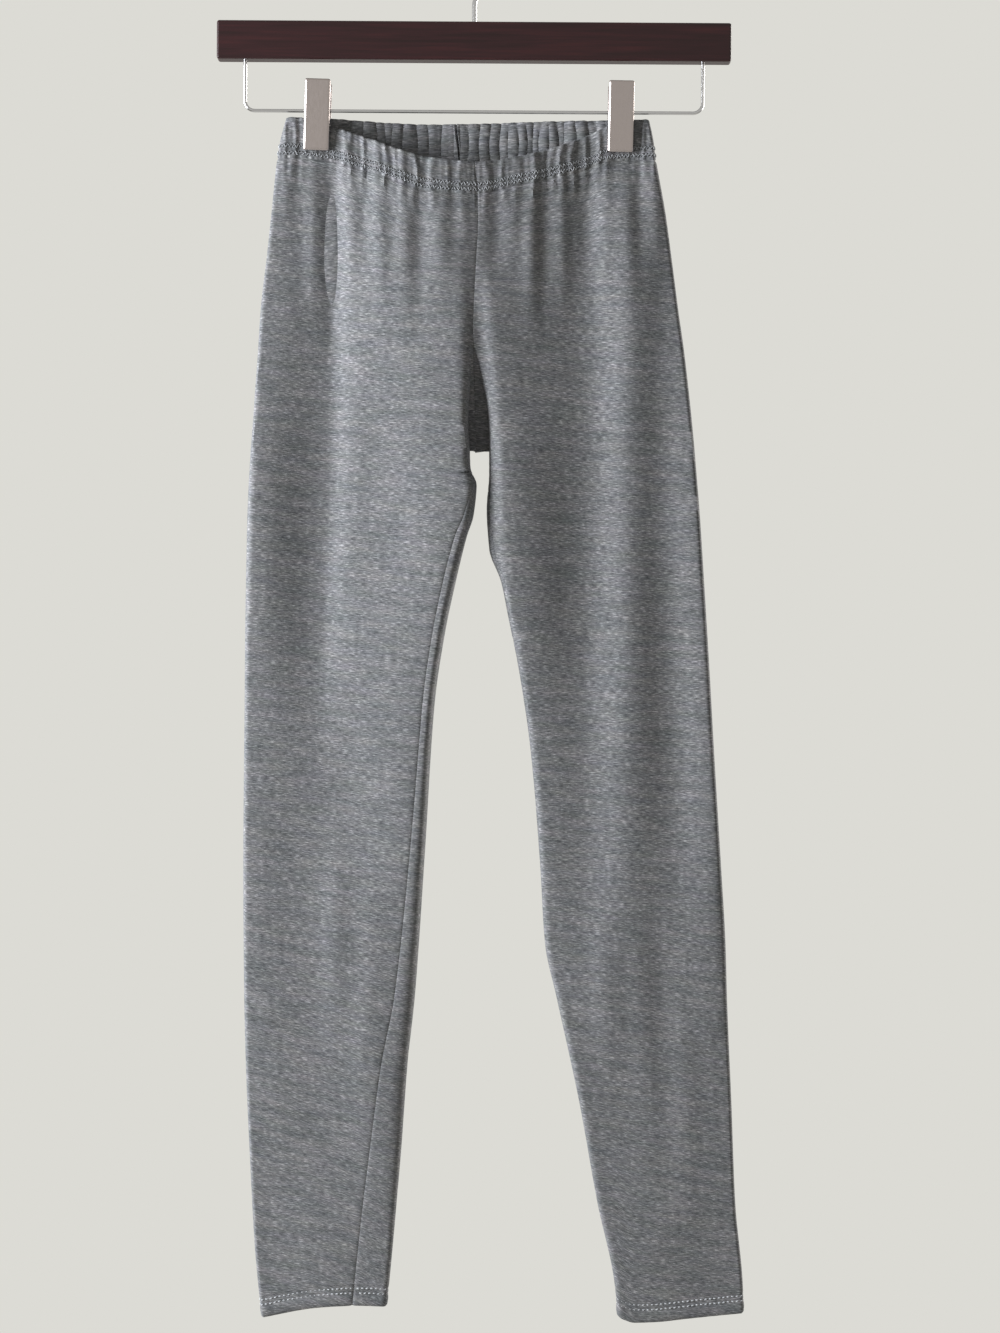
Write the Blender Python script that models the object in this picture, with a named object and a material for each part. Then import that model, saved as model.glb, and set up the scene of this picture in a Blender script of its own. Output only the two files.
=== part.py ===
"""Leggings hanging by their waistband from a wooden clip hanger.

Sizes are in millimetres until a mesh is made, which is in metres. +Z is up, the front of the
leggings faces -Y, and +X is the wearer's left. The origin is the inner crown of the hook, where
the hanger hangs. A "drop" is a distance below that crown, and "out" is a distance from X = 0
towards a leg's own side.
"""

import math

import bmesh
import bpy
import numpy as np
from mathutils import Matrix, Vector

MM = 0.001
GAP = 0.3  # left open between two pieces that touch or are sewn together
SHARP_FROM = 40.0  # degrees between two faces above which their edge is shaded sharp

# Cloth walls: single jersey drawn at 1.3 mm, a casing with its elastic, and a turned-up hem.
LEG_WALL = 1.3
BAND_WALL = 3.0
HEM_WALL = 2.1

# Heights of the garment, as drops.
WAIST_TOP = 127.5
BAND_SEAM = 156.0
FORK = 276.0  # the legs begin to part at the front
CROTCH = 356.5
CROTCH_DEPTH = 5.0  # how far behind the middle plane the cleft ends at the crotch
CLEFT_FADE = 60.0  # below the crotch the inner fold comes forward to the middle plane by here
CROTCH_LAYERS = 2 * LEG_WALL + 0.8  # the two walls that meet there, and the slit between them
HEM_STITCH = 942.0
HEM_EDGE = 957.0

# Rows and columns of the cloth grids.
BAND_ROWS = 5
HEM_ROWS = 3
RISE_ROWS = 13
LEG_ROWS = 17
LEG_CROWDING = 1.25  # above 1 a leg's rows stand closer together towards the crotch
CROTCH_STEP = 3.5  # from the crotch to the nearest row on each side
FRONT_COLUMNS = 16
BACK_COLUMNS = 13
EDGE_CLUSTER = 0.6  # how much closer together the columns are at the seams and the side fold
FINE = 60  # points on each quarter of a section before it is shared out into columns

# The side edges of the waist and hips.
WAIST = np.array([
    # drop, right side, left side
    (127.0, 129.5, 121.3),
    (141.0, 133.4, 124.4),
    (156.0, 136.0, 126.6),
    (192.0, 139.6, 133.2),
    (220.0, 142.4, 137.2),
    (262.0, 146.9, 142.9),
])

# Each leg below the fork: its outer and inner edge, and how far the inseam lies in from the
# inner edge, on the front when positive and on the back when negative.
RIGHT_LEG = np.array([
    # drop, outer, inner, inseam
    (285.0, 148.2, -0.4, -1.5),
    (323.0, 150.6, 1.9, -1.5),
    (341.0, 151.7, 2.5, -1.5),
    (357.0, 152.9, 1.3, -1.5),
    (369.0, 153.6, 0.7, -0.8),
    (381.0, 154.2, -3.6, 2.0),
    (402.0, 155.0, -1.6, 6.2),
    (417.0, 155.3, 3.0, 7.8),
    (447.0, 155.7, 10.2, 8.4),
    (487.0, 156.0, 18.3, 8.2),
    (535.0, 156.1, 24.8, 8.0),
    (634.0, 156.4, 30.6, 10.0),
    (735.0, 155.2, 37.0, 14.0),
    (783.0, 153.8, 41.9, 18.0),
    (840.0, 151.0, 45.6, 21.4),
    (907.0, 147.0, 50.7, 23.6),
    (957.0, 142.0, 55.0, 24.0),
])
LEFT_LEG = np.array([
    # drop, outer, inner, inseam
    (285.0, 146.3, 0.8, -1.5),
    (309.0, 149.3, 6.9, -1.5),
    (335.0, 152.2, 11.2, -1.5),
    (357.0, 154.4, 12.0, -1.5),
    (373.0, 155.8, 12.1, -0.8),
    (397.0, 157.9, 10.6, 1.0),
    (426.0, 160.0, 12.6, 3.4),
    (448.0, 161.5, 20.9, 2.2),
    (470.0, 163.0, 25.5, 1.4),
    (509.0, 165.6, 33.6, -2.0),
    (567.0, 169.2, 42.3, -6.0),
    (641.0, 174.2, 48.9, -9.0),
    (699.0, 177.9, 52.9, -11.0),
    (735.0, 179.1, 60.9, -12.0),
    (808.0, 182.6, 77.2, -15.0),
    (879.0, 185.7, 90.3, -18.0),
    (936.0, 191.2, 102.6, -20.0),
    (960.0, 192.2, 104.6, -20.0),
])

# How far the front and back swell from the middle plane, how much the clips still pinch them
# flat, and where the two middle seams run.
DEPTHS = np.array([
    # drop, front, back, pinch
    (127.0, 15.0, 10.0, 1.0),
    (156.0, 14.0, 10.0, 1.0),
    (200.0, 14.5, 11.0, 0.55),
    (250.0, 16.0, 12.0, 0.22),
    (300.0, 17.5, 12.5, 0.05),
    (357.0, 18.0, 12.5, 0.0),
    (430.0, 18.0, 11.0, 0.0),
    (560.0, 15.0, 9.0, 0.0),
    (735.0, 11.0, 7.5, 0.0),
    (957.0, 6.5, 5.5, 0.0),
])
MIDDLE_SEAMS = np.array([
    # drop, front x, back x
    (127.0, 1.2, -12.0),
    (175.0, 3.6, -9.5),
    (213.0, 2.5, -6.0),
    (285.0, 0.6, 0.0),
    (357.0, 3.0, 3.0),
])

# The slack front edge sags between the clips, and each hem is cut or pulled off the level.
FRONT_SAG = np.array([
    # x, sag of the waist edge, sag of the casing seam
    (-120.0, 0.0, 0.0),
    (-99.0, 6.5, 2.0),
    (-82.0, 12.0, 7.0),
    (-65.0, 18.5, 12.0),
    (-47.0, 25.0, 19.0),
    (-28.0, 29.5, 24.0),
    (1.0, 31.8, 25.0),
    (32.0, 27.2, 18.0),
    (50.0, 22.4, 14.0),
    (74.0, 14.0, 8.0),
    (92.0, 5.7, 1.5),
    (112.0, 0.0, 0.0),
])
BACK_SAG = 2.0
SAG_REACH = 110.0  # below the casing seam the sag has faded out at this distance
RIGHT_HEM = np.array([
    # out, lift of the hem
    (54.0, 7.0),
    (76.0, 7.6),
    (88.0, 7.2),
    (104.0, 6.0),
    (142.0, -1.0),
])
LEFT_HEM = np.array([
    # out, lift of the hem
    (103.0, 1.5),
    (109.0, -1.0),
    (116.0, -3.0),
    (131.0, -2.4),
    (152.0, 0.0),
    (192.0, 4.2),
])
HEM_LIFT_REACH = 180.0

# The largest folds: soft ridges (+) and troughs (-) that run down from the clips.
FRONT_FOLDS = (
    # x at top, drop at top, x at bottom, drop at bottom, width, height
    (-103.0, 165.0, -99.0, 400.0, 8.0, -4.0),
    (-86.0, 165.0, -84.0, 400.0, 9.0, 2.5),
    (-124.0, 165.0, -128.0, 260.0, 7.0, -2.0),
    (94.0, 165.0, 92.0, 560.0, 10.0, 4.0),
    (126.0, 190.0, 134.0, 520.0, 9.0, -3.0),
    (-40.0, 185.0, -46.0, 290.0, 8.0, -2.5),
    (45.0, 185.0, 52.0, 300.0, 9.0, -2.5),
)
BACK_FOLDS = (
    (-100.0, 165.0, -94.0, 380.0, 9.0, -3.5),
    (-80.0, 165.0, -74.0, 360.0, 9.0, 2.0),
    (96.0, 165.0, 90.0, 420.0, 9.0, -3.5),
    (74.0, 165.0, 68.0, 360.0, 9.0, 2.0),
    (118.0, 200.0, 128.0, 520.0, 10.0, -2.5),
)

# Roundness of the side folds: 2 is an ellipse, and more is squarer.
LOOSE_ROUNDNESS = 2.3
PINCHED_ROUNDNESS = 8.0
BAND_PINCH = BAND_WALL + 0.4  # half thickness of the waist between the jaws

# Hanger bar, hook and wire rail.
BAR_LENGTH = 355.6
BAR_THICK = 13.0
BAR_TOP = 61.2
BAR_BOTTOM = 87.9
BAR_BEVEL = 1.6
HOOK_WIRE = 3.3
HOOK_INNER_RADIUS = 20.0
HOOK_NECK = 54.0  # the stem is straight below this drop
HOOK_START = -50.0  # degrees round the hook's circle, where the neck joins it
HOOK_END = 196.0
NECK_PULL = 0.45  # length of the neck curve's handles over its span
RAIL_WIRE = 2.4
RAIL_HALF = 158.5
RAIL_DROP = 122.6
RAIL_CORNER = 6.8
POCKET_DEPTH = 9.0  # holes in the bar for the hook's stem and the rail's ends

# Clips: a pressed tray on each side of the rail, with ears round the rail and a coil spring.
CLIP_WIDTH = 17.6
CLIP_ABOVE = 20.5  # from the rail up to the thumb end
CLIP_BELOW = 28.5  # from the rail down to the jaw
CLIP_SHEET = 0.9
CLIP_RIM = 2.6
CLIP_CORNER = 1.3
CLIP_LEAN = 4.0  # degrees that each plate opens towards its thumb end
EAR_RADIUS = 2.7
EAR_HOLE = 1.8
EAR_THICK = 0.9
FRONT_EAR_OUT = 6.6
BACK_EAR_OUT = 5.3
SPRING_WIRE = 0.9
SPRING_RADIUS = 2.5
SPRING_TURNS = 4
SPRING_LENGTH = 7.0
CLIPS = (
    # name, x at the rail, turn in degrees seen from the front
    ("right", -108.1, 1.5),
    ("left", 101.8, 0.8),
)

COLOURS = {
    # name: sRGB colour, roughness, metallic
    "heather_jersey": ((0.53, 0.54, 0.55), 0.92, 0.0),
    "gathered_casing": ((0.50, 0.51, 0.53), 0.92, 0.0),
    "mahogany_lacquer": ((0.23, 0.14, 0.14), 0.32, 0.0),
    "chrome_wire": ((0.78, 0.78, 0.79), 0.15, 1.0),
    "satin_nickel": ((0.68, 0.65, 0.65), 0.34, 1.0),
    "spring_steel": ((0.55, 0.55, 0.57), 0.30, 1.0),
}


def clear_scene():
    for item in list(bpy.data.objects):
        bpy.data.objects.remove(item)


def linear(channel):
    if channel <= 0.04045:
        return channel / 12.92
    return ((channel + 0.055) / 1.055) ** 2.4


def material(name):
    """One Principled material for each finish, made the first time it is asked for."""
    if name in bpy.data.materials:
        return bpy.data.materials[name]
    colour, roughness, metallic = COLOURS[name]
    made = bpy.data.materials.new(name)
    made.use_nodes = True
    shader = made.node_tree.nodes["Principled BSDF"]
    shader.inputs["Base Color"].default_value = [linear(c) for c in colour] + [1.0]
    shader.inputs["Roughness"].default_value = roughness
    shader.inputs["Metallic"].default_value = metallic
    return made


def add_object(name, mesh, finish):
    item = bpy.data.objects.new(name, mesh)
    bpy.context.scene.collection.objects.link(item)
    mesh.materials.append(material(finish))
    return item


def shade(mesh):
    """Smooth shading, with the edges of more than SHARP_FROM kept sharp."""
    mesh.shade_smooth()
    mesh.set_sharp_from_angle(angle=math.radians(SHARP_FROM))


def object_from_bmesh(name, bm, finish):
    mesh = bpy.data.meshes.new(name)
    bm.to_mesh(mesh)
    bm.free()
    shade(mesh)
    return add_object(name, mesh, finish)


# ---------------------------------------------------------------- the cloth


def smooth(at, table, column):
    """A table's column at the given places, on a cubic that never overshoots its rows."""
    knots, values = table[:, 0], table[:, column]
    step = np.diff(knots)
    slope = np.diff(values) / step
    tangent = np.concatenate([slope[:1], np.zeros(len(slope) - 1), slope[-1:]])
    turning = slope[:-1] * slope[1:]
    rising = turning > 0
    tangent[1:-1][rising] = 2 * turning[rising] / (slope[:-1] + slope[1:])[rising]
    at = np.clip(np.asarray(at, dtype=float), knots[0], knots[-1])
    i = np.clip(np.searchsorted(knots, at) - 1, 0, len(step) - 1)
    t = (at - knots[i]) / step[i]
    rise = t * t * (3 - 2 * t)
    return (
        values[i] + (values[i + 1] - values[i]) * rise
        + step[i] * tangent[i] * t * (1 - t) ** 2
        - step[i] * tangent[i + 1] * (1 - t) * t * t
    )


def ease(value, start, end):
    """0 at start and 1 at end, with a soft start and finish."""
    t = np.clip((np.asarray(value, dtype=float) - start) / (end - start), 0, 1)
    return t * t * (3 - 2 * t)


def slack(x):
    """The buckled shape of the waist between the two jaws: 0 at each jaw and 1 in the middle."""
    left, right = CLIPS[0][1] + CLIP_WIDTH / 2 + 2, CLIPS[1][1] - CLIP_WIDTH / 2 - 2
    return np.sin(math.pi * np.clip((x - left) / (right - left), 0, 1)) ** 2


def folds(x, drop, rows):
    """The height of the soft ridges and troughs at x on one section."""
    height = np.zeros_like(x)
    for x_top, top, x_bottom, bottom, width, rise in rows:
        along = (drop - top) / (bottom - top)
        if 0 < along < 1:
            middle = x_top + (x_bottom - x_top) * along
            strength = ease(along, 0, 0.2) * (1 - ease(along, 0.45, 1))
            height += rise * strength * np.exp(-(((x - middle) / width) ** 2))
    return height


def envelope(x, drop, column, rows):
    """How far the front (column 1) or back (column 2) stands from the middle plane at x."""
    full = float(smooth(drop, DEPTHS, column))
    pinch = float(smooth(drop, DEPTHS, 3))
    flat = BAND_PINCH + (full - BAND_PINCH) * slack(x)
    return full + (flat - full) * pinch + folds(x, drop, rows)


def section(side, leg, drop):
    """One leg's level section: points and inward normals, in x and y.

    It runs from the front middle seam (or the inseam) across the front, round the side fold and
    along the back. Each quarter is a superellipse about the middle of the leg. Above the crotch
    the inner front quarter sinks into the cleft between the legs and ends at the middle seam.
    """
    closed = drop > CROTCH
    outer = float(smooth(drop, side_edge(side, leg), 1))
    front_seam = side * float(smooth(drop, MIDDLE_SEAMS, 1)) + GAP / 2
    back_seam = side * float(smooth(drop, MIDDLE_SEAMS, 2)) + GAP / 2
    inner = float(smooth(drop, leg, 2))
    if not closed:
        inner = max(inner, front_seam) if drop > FORK else front_seam
    middle = (outer + inner) / 2
    power = 2 / (LOOSE_ROUNDNESS
                 + (PINCHED_ROUNDNESS - LOOSE_ROUNDNESS) * float(smooth(drop, DEPTHS, 3)))
    turn = np.linspace(0, math.pi / 2, FINE)
    near, far = np.cos(turn) ** power, np.sin(turn) ** power

    out_quarter = middle + (outer - middle) * far
    front_out = -envelope(side * out_quarter, drop, 1, FRONT_FOLDS) * near
    back_out = envelope(side * out_quarter, drop, 2, BACK_FOLDS) * near

    front_in = middle - (middle - inner) * far
    front_depth = envelope(side * front_in, drop, 1, FRONT_FOLDS)
    if closed:
        edge = CROTCH_DEPTH * (1 - float(ease(drop, CROTCH, CROTCH + CLEFT_FADE)))
        front_y = edge - (front_depth + edge) * near
        back_in = front_in
        back_y = edge + (envelope(side * back_in, drop, 2, BACK_FOLDS) - edge) * near
        out = [front_in[::-1], out_quarter[1:], out_quarter[-2::-1], back_in[1:-1]]
        y = [front_y[::-1], front_out[1:], back_out[-2::-1], back_y[1:-1]]
    else:
        cleft = float(ease(drop, FORK, CROTCH))
        floor_width = inner - front_seam
        floor = -front_depth + (front_depth + CROTCH_DEPTH) * cleft
        shoulder = floor - np.minimum(floor_width, (front_depth + floor) * 0.5)
        front_y = -front_depth * near + shoulder * (1 - near)
        bend = np.linspace(math.pi / 2, 0, FINE // 3)
        floor_out = front_seam + floor_width * np.cos(bend)
        floor_y = floor[-1] - (floor[-1] - shoulder[-1]) * (1 - np.sin(bend))
        back_in = middle - (middle - back_seam) * far
        back_y = envelope(side * back_in, drop, 2, BACK_FOLDS)
        back_y += (CROTCH_DEPTH + CROTCH_LAYERS - back_y) * (1 - near) * cleft
        out = [front_in[::-1], out_quarter[1:], out_quarter[-2::-1], back_in[1:]]
        y = [front_y[::-1], front_out[1:], back_out[-2::-1], back_y[1:]]
        if floor_width > GAP:
            out.insert(0, floor_out[:-1])
            y.insert(0, floor_y[:-1])
    line = np.column_stack([np.concatenate(out), np.concatenate(y)])
    if closed:
        line = start_at_inseam(line, inner, float(smooth(drop, leg, 3)))
    return line, inward(line, closed)


def side_edge(side, leg):
    """The side edge from the waist to the hem, as a table of drop and out."""
    column = 1 if side < 0 else 2
    return np.vstack([WAIST[:, [0, column]], leg[:, :2]])


def start_at_inseam(line, inner, inset):
    """Turn a closed section so that it starts and ends at the inseam, half a gap from it."""
    loop = np.vstack([line, line[:1]])
    length = np.concatenate([[0], np.cumsum(np.hypot(*np.diff(loop, axis=0).T))])
    total = length[-1]
    quarter = FINE // 2
    if inset >= 0:
        start = np.interp(inner + inset, loop[:quarter, 0], length[:quarter])
    else:
        start = np.interp(inner - inset, loop[: -quarter - 1: -1, 0], length[: -quarter - 1: -1])
    twice = np.vstack([line, line, line[:1]])
    twice_length = np.concatenate([length[:-1], length[:-1] + total, [2 * total]])
    at = start + np.linspace(GAP / 2, total - GAP / 2, len(line))
    return np.column_stack([np.interp(at, twice_length, twice[:, k]) for k in (0, 1)])


def inward(line, closed):
    """Unit normals that point into the leg, level with the section."""
    if closed:
        ring = np.vstack([line[-2:-1], line, line[1:2]])
        along = ring[2:] - ring[:-2]
        along[0] = along[-1] = along[0] + along[-1]
    else:
        along = np.gradient(line, axis=0)
    along /= np.hypot(*along.T)[:, None]
    return np.column_stack([-along[:, 1], along[:, 0]])


def share_out(line, others):
    """The section's points and any other arrays at the columns of the grid.

    The side fold is always the same column, and the columns crowd towards it and the seams.
    """
    length = np.concatenate([[0], np.cumsum(np.hypot(*np.diff(line, axis=0).T))])
    fold = length[int(np.argmax(line[:, 0]))]

    def crowded(count):
        t = np.linspace(0, 1, count + 1)
        return t - EDGE_CLUSTER * np.sin(2 * math.pi * t) / (2 * math.pi)

    at = np.concatenate([
        fold * crowded(FRONT_COLUMNS),
        fold + (length[-1] - fold) * crowded(BACK_COLUMNS)[1:],
    ])
    return [np.column_stack([np.interp(at, length, a[:, k]) for k in (0, 1)])
            for a in [line] + others]


def height(side, hem, drop, out, front):
    """World z of the points of one section, with the waist's sag and the hem's lift."""
    x = side * out
    top = smooth(x, FRONT_SAG, 1)
    seam = smooth(x, FRONT_SAG, 2)
    down = (drop - WAIST_TOP) / (BAND_SEAM - WAIST_TOP)
    if down <= 1:
        sag = top + (seam - top) * down
    else:
        sag = seam * (1 - float(ease(drop, BAND_SEAM, BAND_SEAM + SAG_REACH)))
    lift = smooth(out, hem, 1) * float(ease(drop, HEM_EDGE - HEM_LIFT_REACH, HEM_EDGE))
    sag = np.where(front, sag, BACK_SAG * slack(x) * (1 - float(ease(drop, WAIST_TOP, FORK))))
    return -drop - sag + lift


def cloth(name, side, leg, hem, drops, wall, finish):
    """A wall of cloth through the sections at the given drops, closed along all its edges."""
    outside, inside = [], []
    front = np.arange(FRONT_COLUMNS + BACK_COLUMNS + 1) < FRONT_COLUMNS
    for drop in drops:
        line, normal = section(side, leg, drop)
        (points, normals) = share_out(line, [normal])
        normals /= np.hypot(*normals.T)[:, None]
        z = height(side, hem, drop, points[:, 0], front)
        for surface, depth in ((outside, 0.0), (inside, wall)):
            moved = points + normals * depth
            surface.append(np.column_stack([side * moved[:, 0], moved[:, 1], z]))
    rows, columns = len(drops), len(front)
    points = np.concatenate([np.concatenate(outside), np.concatenate(inside)]) * MM
    inner = rows * columns

    def quad(a, b, c, d):
        return (a, b, c, d) if side > 0 else (d, c, b, a)

    faces = []
    for i in range(rows - 1):
        for j in range(columns - 1):
            a, b = i * columns + j, (i + 1) * columns + j
            faces.append(quad(a, b, b + 1, a + 1))
            faces.append(quad(inner + a + 1, inner + b + 1, inner + b, inner + a))
    last = (rows - 1) * columns
    for j in range(columns - 1):
        faces.append(quad(j, j + 1, inner + j + 1, inner + j))
        faces.append(quad(last + j + 1, last + j, inner + last + j, inner + last + j + 1))
    for i in range(rows - 1):
        a, b = i * columns, (i + 1) * columns
        faces.append(quad(b, a, inner + a, inner + b))
        a, b = a + columns - 1, b + columns - 1
        faces.append(quad(a, b, inner + b, inner + a))
    mesh = bpy.data.meshes.new(name)
    mesh.from_pydata(points.tolist(), [], faces)
    shade(mesh)
    return add_object(name, mesh, finish)


def leg_drops():
    """Sections of a leg: even down the rise and the leg, and close together at the crotch."""
    rise = np.linspace(BAND_SEAM + GAP, CROTCH - CROTCH_STEP, RISE_ROWS)
    start, end = CROTCH + CROTCH_STEP, HEM_STITCH - GAP
    below = start + (end - start) * np.linspace(0, 1, LEG_ROWS) ** LEG_CROWDING
    return np.concatenate([rise, [CROTCH - 0.2], below])


def build_cloth():
    for word, side, leg, hem in (("right", -1, RIGHT_LEG, RIGHT_HEM), ("left", 1, LEFT_LEG, LEFT_HEM)):
        band = np.linspace(WAIST_TOP, BAND_SEAM, BAND_ROWS)
        cloth(f"waistband_{word}", side, leg, hem, band, BAND_WALL, "gathered_casing")
        cloth(f"leg_{word}", side, leg, hem, leg_drops(), LEG_WALL, "heather_jersey")
        turned_up = np.linspace(HEM_STITCH, HEM_EDGE, HEM_ROWS)
        cloth(f"hem_{word}", side, leg, hem, turned_up, HEM_WALL, "heather_jersey")


# ---------------------------------------------------------------- the hanger


def tube(name, points, diameter, sides, finish):
    """A round wire along the points, with filled ends."""
    curve = bpy.data.curves.new(name, "CURVE")
    curve.dimensions = "3D"
    curve.bevel_depth = diameter / 2 * MM
    curve.bevel_resolution = sides
    curve.use_fill_caps = True
    spline = curve.splines.new("POLY")
    spline.points.add(len(points) - 1)
    for spot, place in zip(spline.points, points):
        spot.co = (place[0] * MM, place[1] * MM, place[2] * MM, 1)
    item = bpy.data.objects.new(name, curve)
    bpy.context.scene.collection.objects.link(item)
    curve.materials.append(material(finish))
    return item


def arc(centre, radius, start, end, count):
    """Points on a circle in the XZ plane; angles in degrees from +X towards +Z."""
    return [
        (centre[0] + radius * math.cos(a), 0.0, centre[1] + radius * math.sin(a))
        for a in np.radians(np.linspace(start, end, count))
    ]


def hook_path():
    """Stem, a neck that swings out to the circle, and the round hook, in the bar's own plane."""
    radius = HOOK_INNER_RADIUS + HOOK_WIRE / 2
    round_part = arc((0, -HOOK_INNER_RADIUS), radius, HOOK_START, HOOK_END, 30)
    join = Vector(round_part[0])
    lean = math.radians(HOOK_START)
    towards = Vector((-math.sin(lean), 0, math.cos(lean)))
    foot = Vector((0, 0, -HOOK_NECK))
    reach = NECK_PULL * (join - foot).length
    handle_a, handle_b = foot + Vector((0, 0, reach)), join - towards * reach
    neck = []
    for t in np.linspace(0, 1, 9)[:-1]:
        u = 1 - t
        neck.append(u ** 3 * foot + 3 * u * u * t * handle_a + 3 * u * t * t * handle_b + t ** 3 * join)
    return [(0, 0, -BAR_TOP - POCKET_DEPTH + GAP)] + neck + round_part


def rail_path():
    """Down from the bar, round a corner, along under it and up again."""
    top = -BAR_BOTTOM + POCKET_DEPTH - GAP
    inside = RAIL_HALF - RAIL_CORNER
    level = -RAIL_DROP + RAIL_CORNER
    right = arc((-inside, level), RAIL_CORNER, 180, 270, 7)
    left = arc((inside, level), RAIL_CORNER, 270, 360, 7)
    return [(-RAIL_HALF, 0, top)] + right + left + [(RAIL_HALF, 0, top)]


def drill(item, places, diameter):
    """Blind upright holes, cut by one hidden cylinder for each place: x, lower and upper z."""
    for number, (x, low, high) in enumerate(places):
        bm = bmesh.new()
        bmesh.ops.create_cone(
            bm, cap_ends=True, segments=16, radius1=diameter / 2 * MM, radius2=diameter / 2 * MM,
            depth=(high - low) * MM, matrix=Matrix.Translation((x * MM, 0, (low + high) / 2 * MM)))
        cutter = object_from_bmesh(f"{item.name}_hole_{number}", bm, "mahogany_lacquer")
        cutter.hide_render = True
        cutter.display_type = "WIRE"
        cut = item.modifiers.new(cutter.name, "BOOLEAN")
        cut.operation = "DIFFERENCE"
        cut.object = cutter
        cut.solver = "EXACT"


def box_bmesh(low, high):
    """A box between two corners given in millimetres."""
    low, high = Vector(low) * MM, Vector(high) * MM
    bm = bmesh.new()
    bmesh.ops.create_cube(bm, size=1.0)
    bmesh.ops.scale(bm, vec=high - low, verts=bm.verts)
    bmesh.ops.translate(bm, vec=(high + low) / 2, verts=bm.verts)
    return bm


def build_bar():
    half = BAR_LENGTH / 2
    bm = box_bmesh((-half, -BAR_THICK / 2, -BAR_BOTTOM), (half, BAR_THICK / 2, -BAR_TOP))
    bmesh.ops.bevel(bm, geom=bm.edges[:], offset=BAR_BEVEL * MM, segments=3, profile=0.5,
                    affect="EDGES", clamp_overlap=True)
    bar = object_from_bmesh("hanger_bar", bm, "mahogany_lacquer")
    over = 2.0  # the cutters stand this far out of the bar
    drill(bar, [(0, -BAR_TOP - POCKET_DEPTH, -BAR_TOP + over)], HOOK_WIRE + 2 * GAP)
    foot = [(x, -BAR_BOTTOM - over, -BAR_BOTTOM + POCKET_DEPTH) for x in (-RAIL_HALF, RAIL_HALF)]
    drill(bar, foot, RAIL_WIRE + 2 * GAP)


def rounded_outline(half, low, high, radius):
    """A rectangle's outline in x and z with round corners, anticlockwise from the front."""
    outline = []
    corners = ((half, low, -90), (half, high, 0), (-half, high, 90), (-half, low, 180))
    for x, z, start in corners:
        middle_x = x - math.copysign(radius, x)
        middle_z = z + radius if z == low else z - radius
        for a in np.radians(start + np.linspace(0, 90, 4)):
            outline.append((middle_x + radius * math.cos(a), middle_z + radius * math.sin(a)))
    return outline


def plate_bmesh():
    """A pressed tray lofted through four loops: outer face, rim outside, rim inside and floor.

    It is in the clip's own frame: the rail at the origin, the outer face at y = 0, and the rim
    turned towards the cloth, +Y, all round. The lower rim is the jaw.
    """
    half, low, high, sheet = CLIP_WIDTH / 2, -CLIP_BELOW, CLIP_ABOVE, CLIP_SHEET
    outside = rounded_outline(half, low, high, CLIP_CORNER)
    inside = rounded_outline(half - sheet, low + sheet, high - sheet, CLIP_CORNER - sheet)
    tip = sheet + CLIP_RIM
    bm = bmesh.new()
    loops = []
    for outline, y in ((outside, 0.0), (outside, tip), (inside, tip), (inside, sheet)):
        loops.append([bm.verts.new((x * MM, y * MM, z * MM)) for x, z in outline])
    bm.faces.new(loops[0])
    bm.faces.new(reversed(loops[-1]))
    for first, second in zip(loops, loops[1:]):
        for j in range(len(first)):
            k = (j + 1) % len(first)
            bm.faces.new((first[k], first[j], second[j], second[k]))
    bmesh.ops.recalc_face_normals(bm, faces=bm.faces[:])
    return bm


def build_clip(word, x, turn):
    """Both plates, their ears round the rail and the coil spring between them."""
    spin = Matrix.Rotation(math.radians(-turn), 4, "Y")
    place = Matrix.Translation((x * MM, 0, -RAIL_DROP * MM)) @ spin
    stand_off = BAND_PINCH + GAP + CLIP_RIM + CLIP_SHEET
    for face, facing, ear_out in (("front", 1, FRONT_EAR_OUT), ("back", -1, BACK_EAR_OUT)):
        bm = plate_bmesh()
        # Stand the plate off, and lean it about the foot of its jaw.
        foot = Vector((0, 0, -CLIP_BELOW * MM))
        lean = Matrix.Rotation(math.radians(CLIP_LEAN), 4, "X")
        bmesh.ops.transform(bm, verts=bm.verts, matrix=Matrix.Translation((0, -stand_off * MM, 0))
                            @ Matrix.Translation(foot) @ lean @ Matrix.Translation(-foot))
        if facing < 0:
            bmesh.ops.transform(bm, verts=bm.verts, matrix=Matrix.Rotation(math.pi, 4, "Z"))
        name = f"clip_{word}_{face}"
        plate = object_from_bmesh(name, bm, "satin_nickel")
        plate.matrix_world = place
        for sign in (-1, 1):
            ear = build_ear(f"{name}_ear_{sign}", facing, sign * ear_out, stand_off)
            ear.matrix_world = place
            join = plate.modifiers.new(ear.name, "BOOLEAN")
            join.operation = "UNION"
            join.object = ear
            join.solver = "EXACT"
    coil = []
    steps = SPRING_TURNS * 12
    for i in range(steps + 1):
        a = 2 * math.pi * i / 12
        along = (i / steps - 0.5) * SPRING_LENGTH
        coil.append((along, SPRING_RADIUS * math.cos(a), SPRING_RADIUS * math.sin(a)))
    spring = tube(f"clip_{word}_spring", coil, SPRING_WIRE, 1, "spring_steel")
    spring.matrix_world = place


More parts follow.
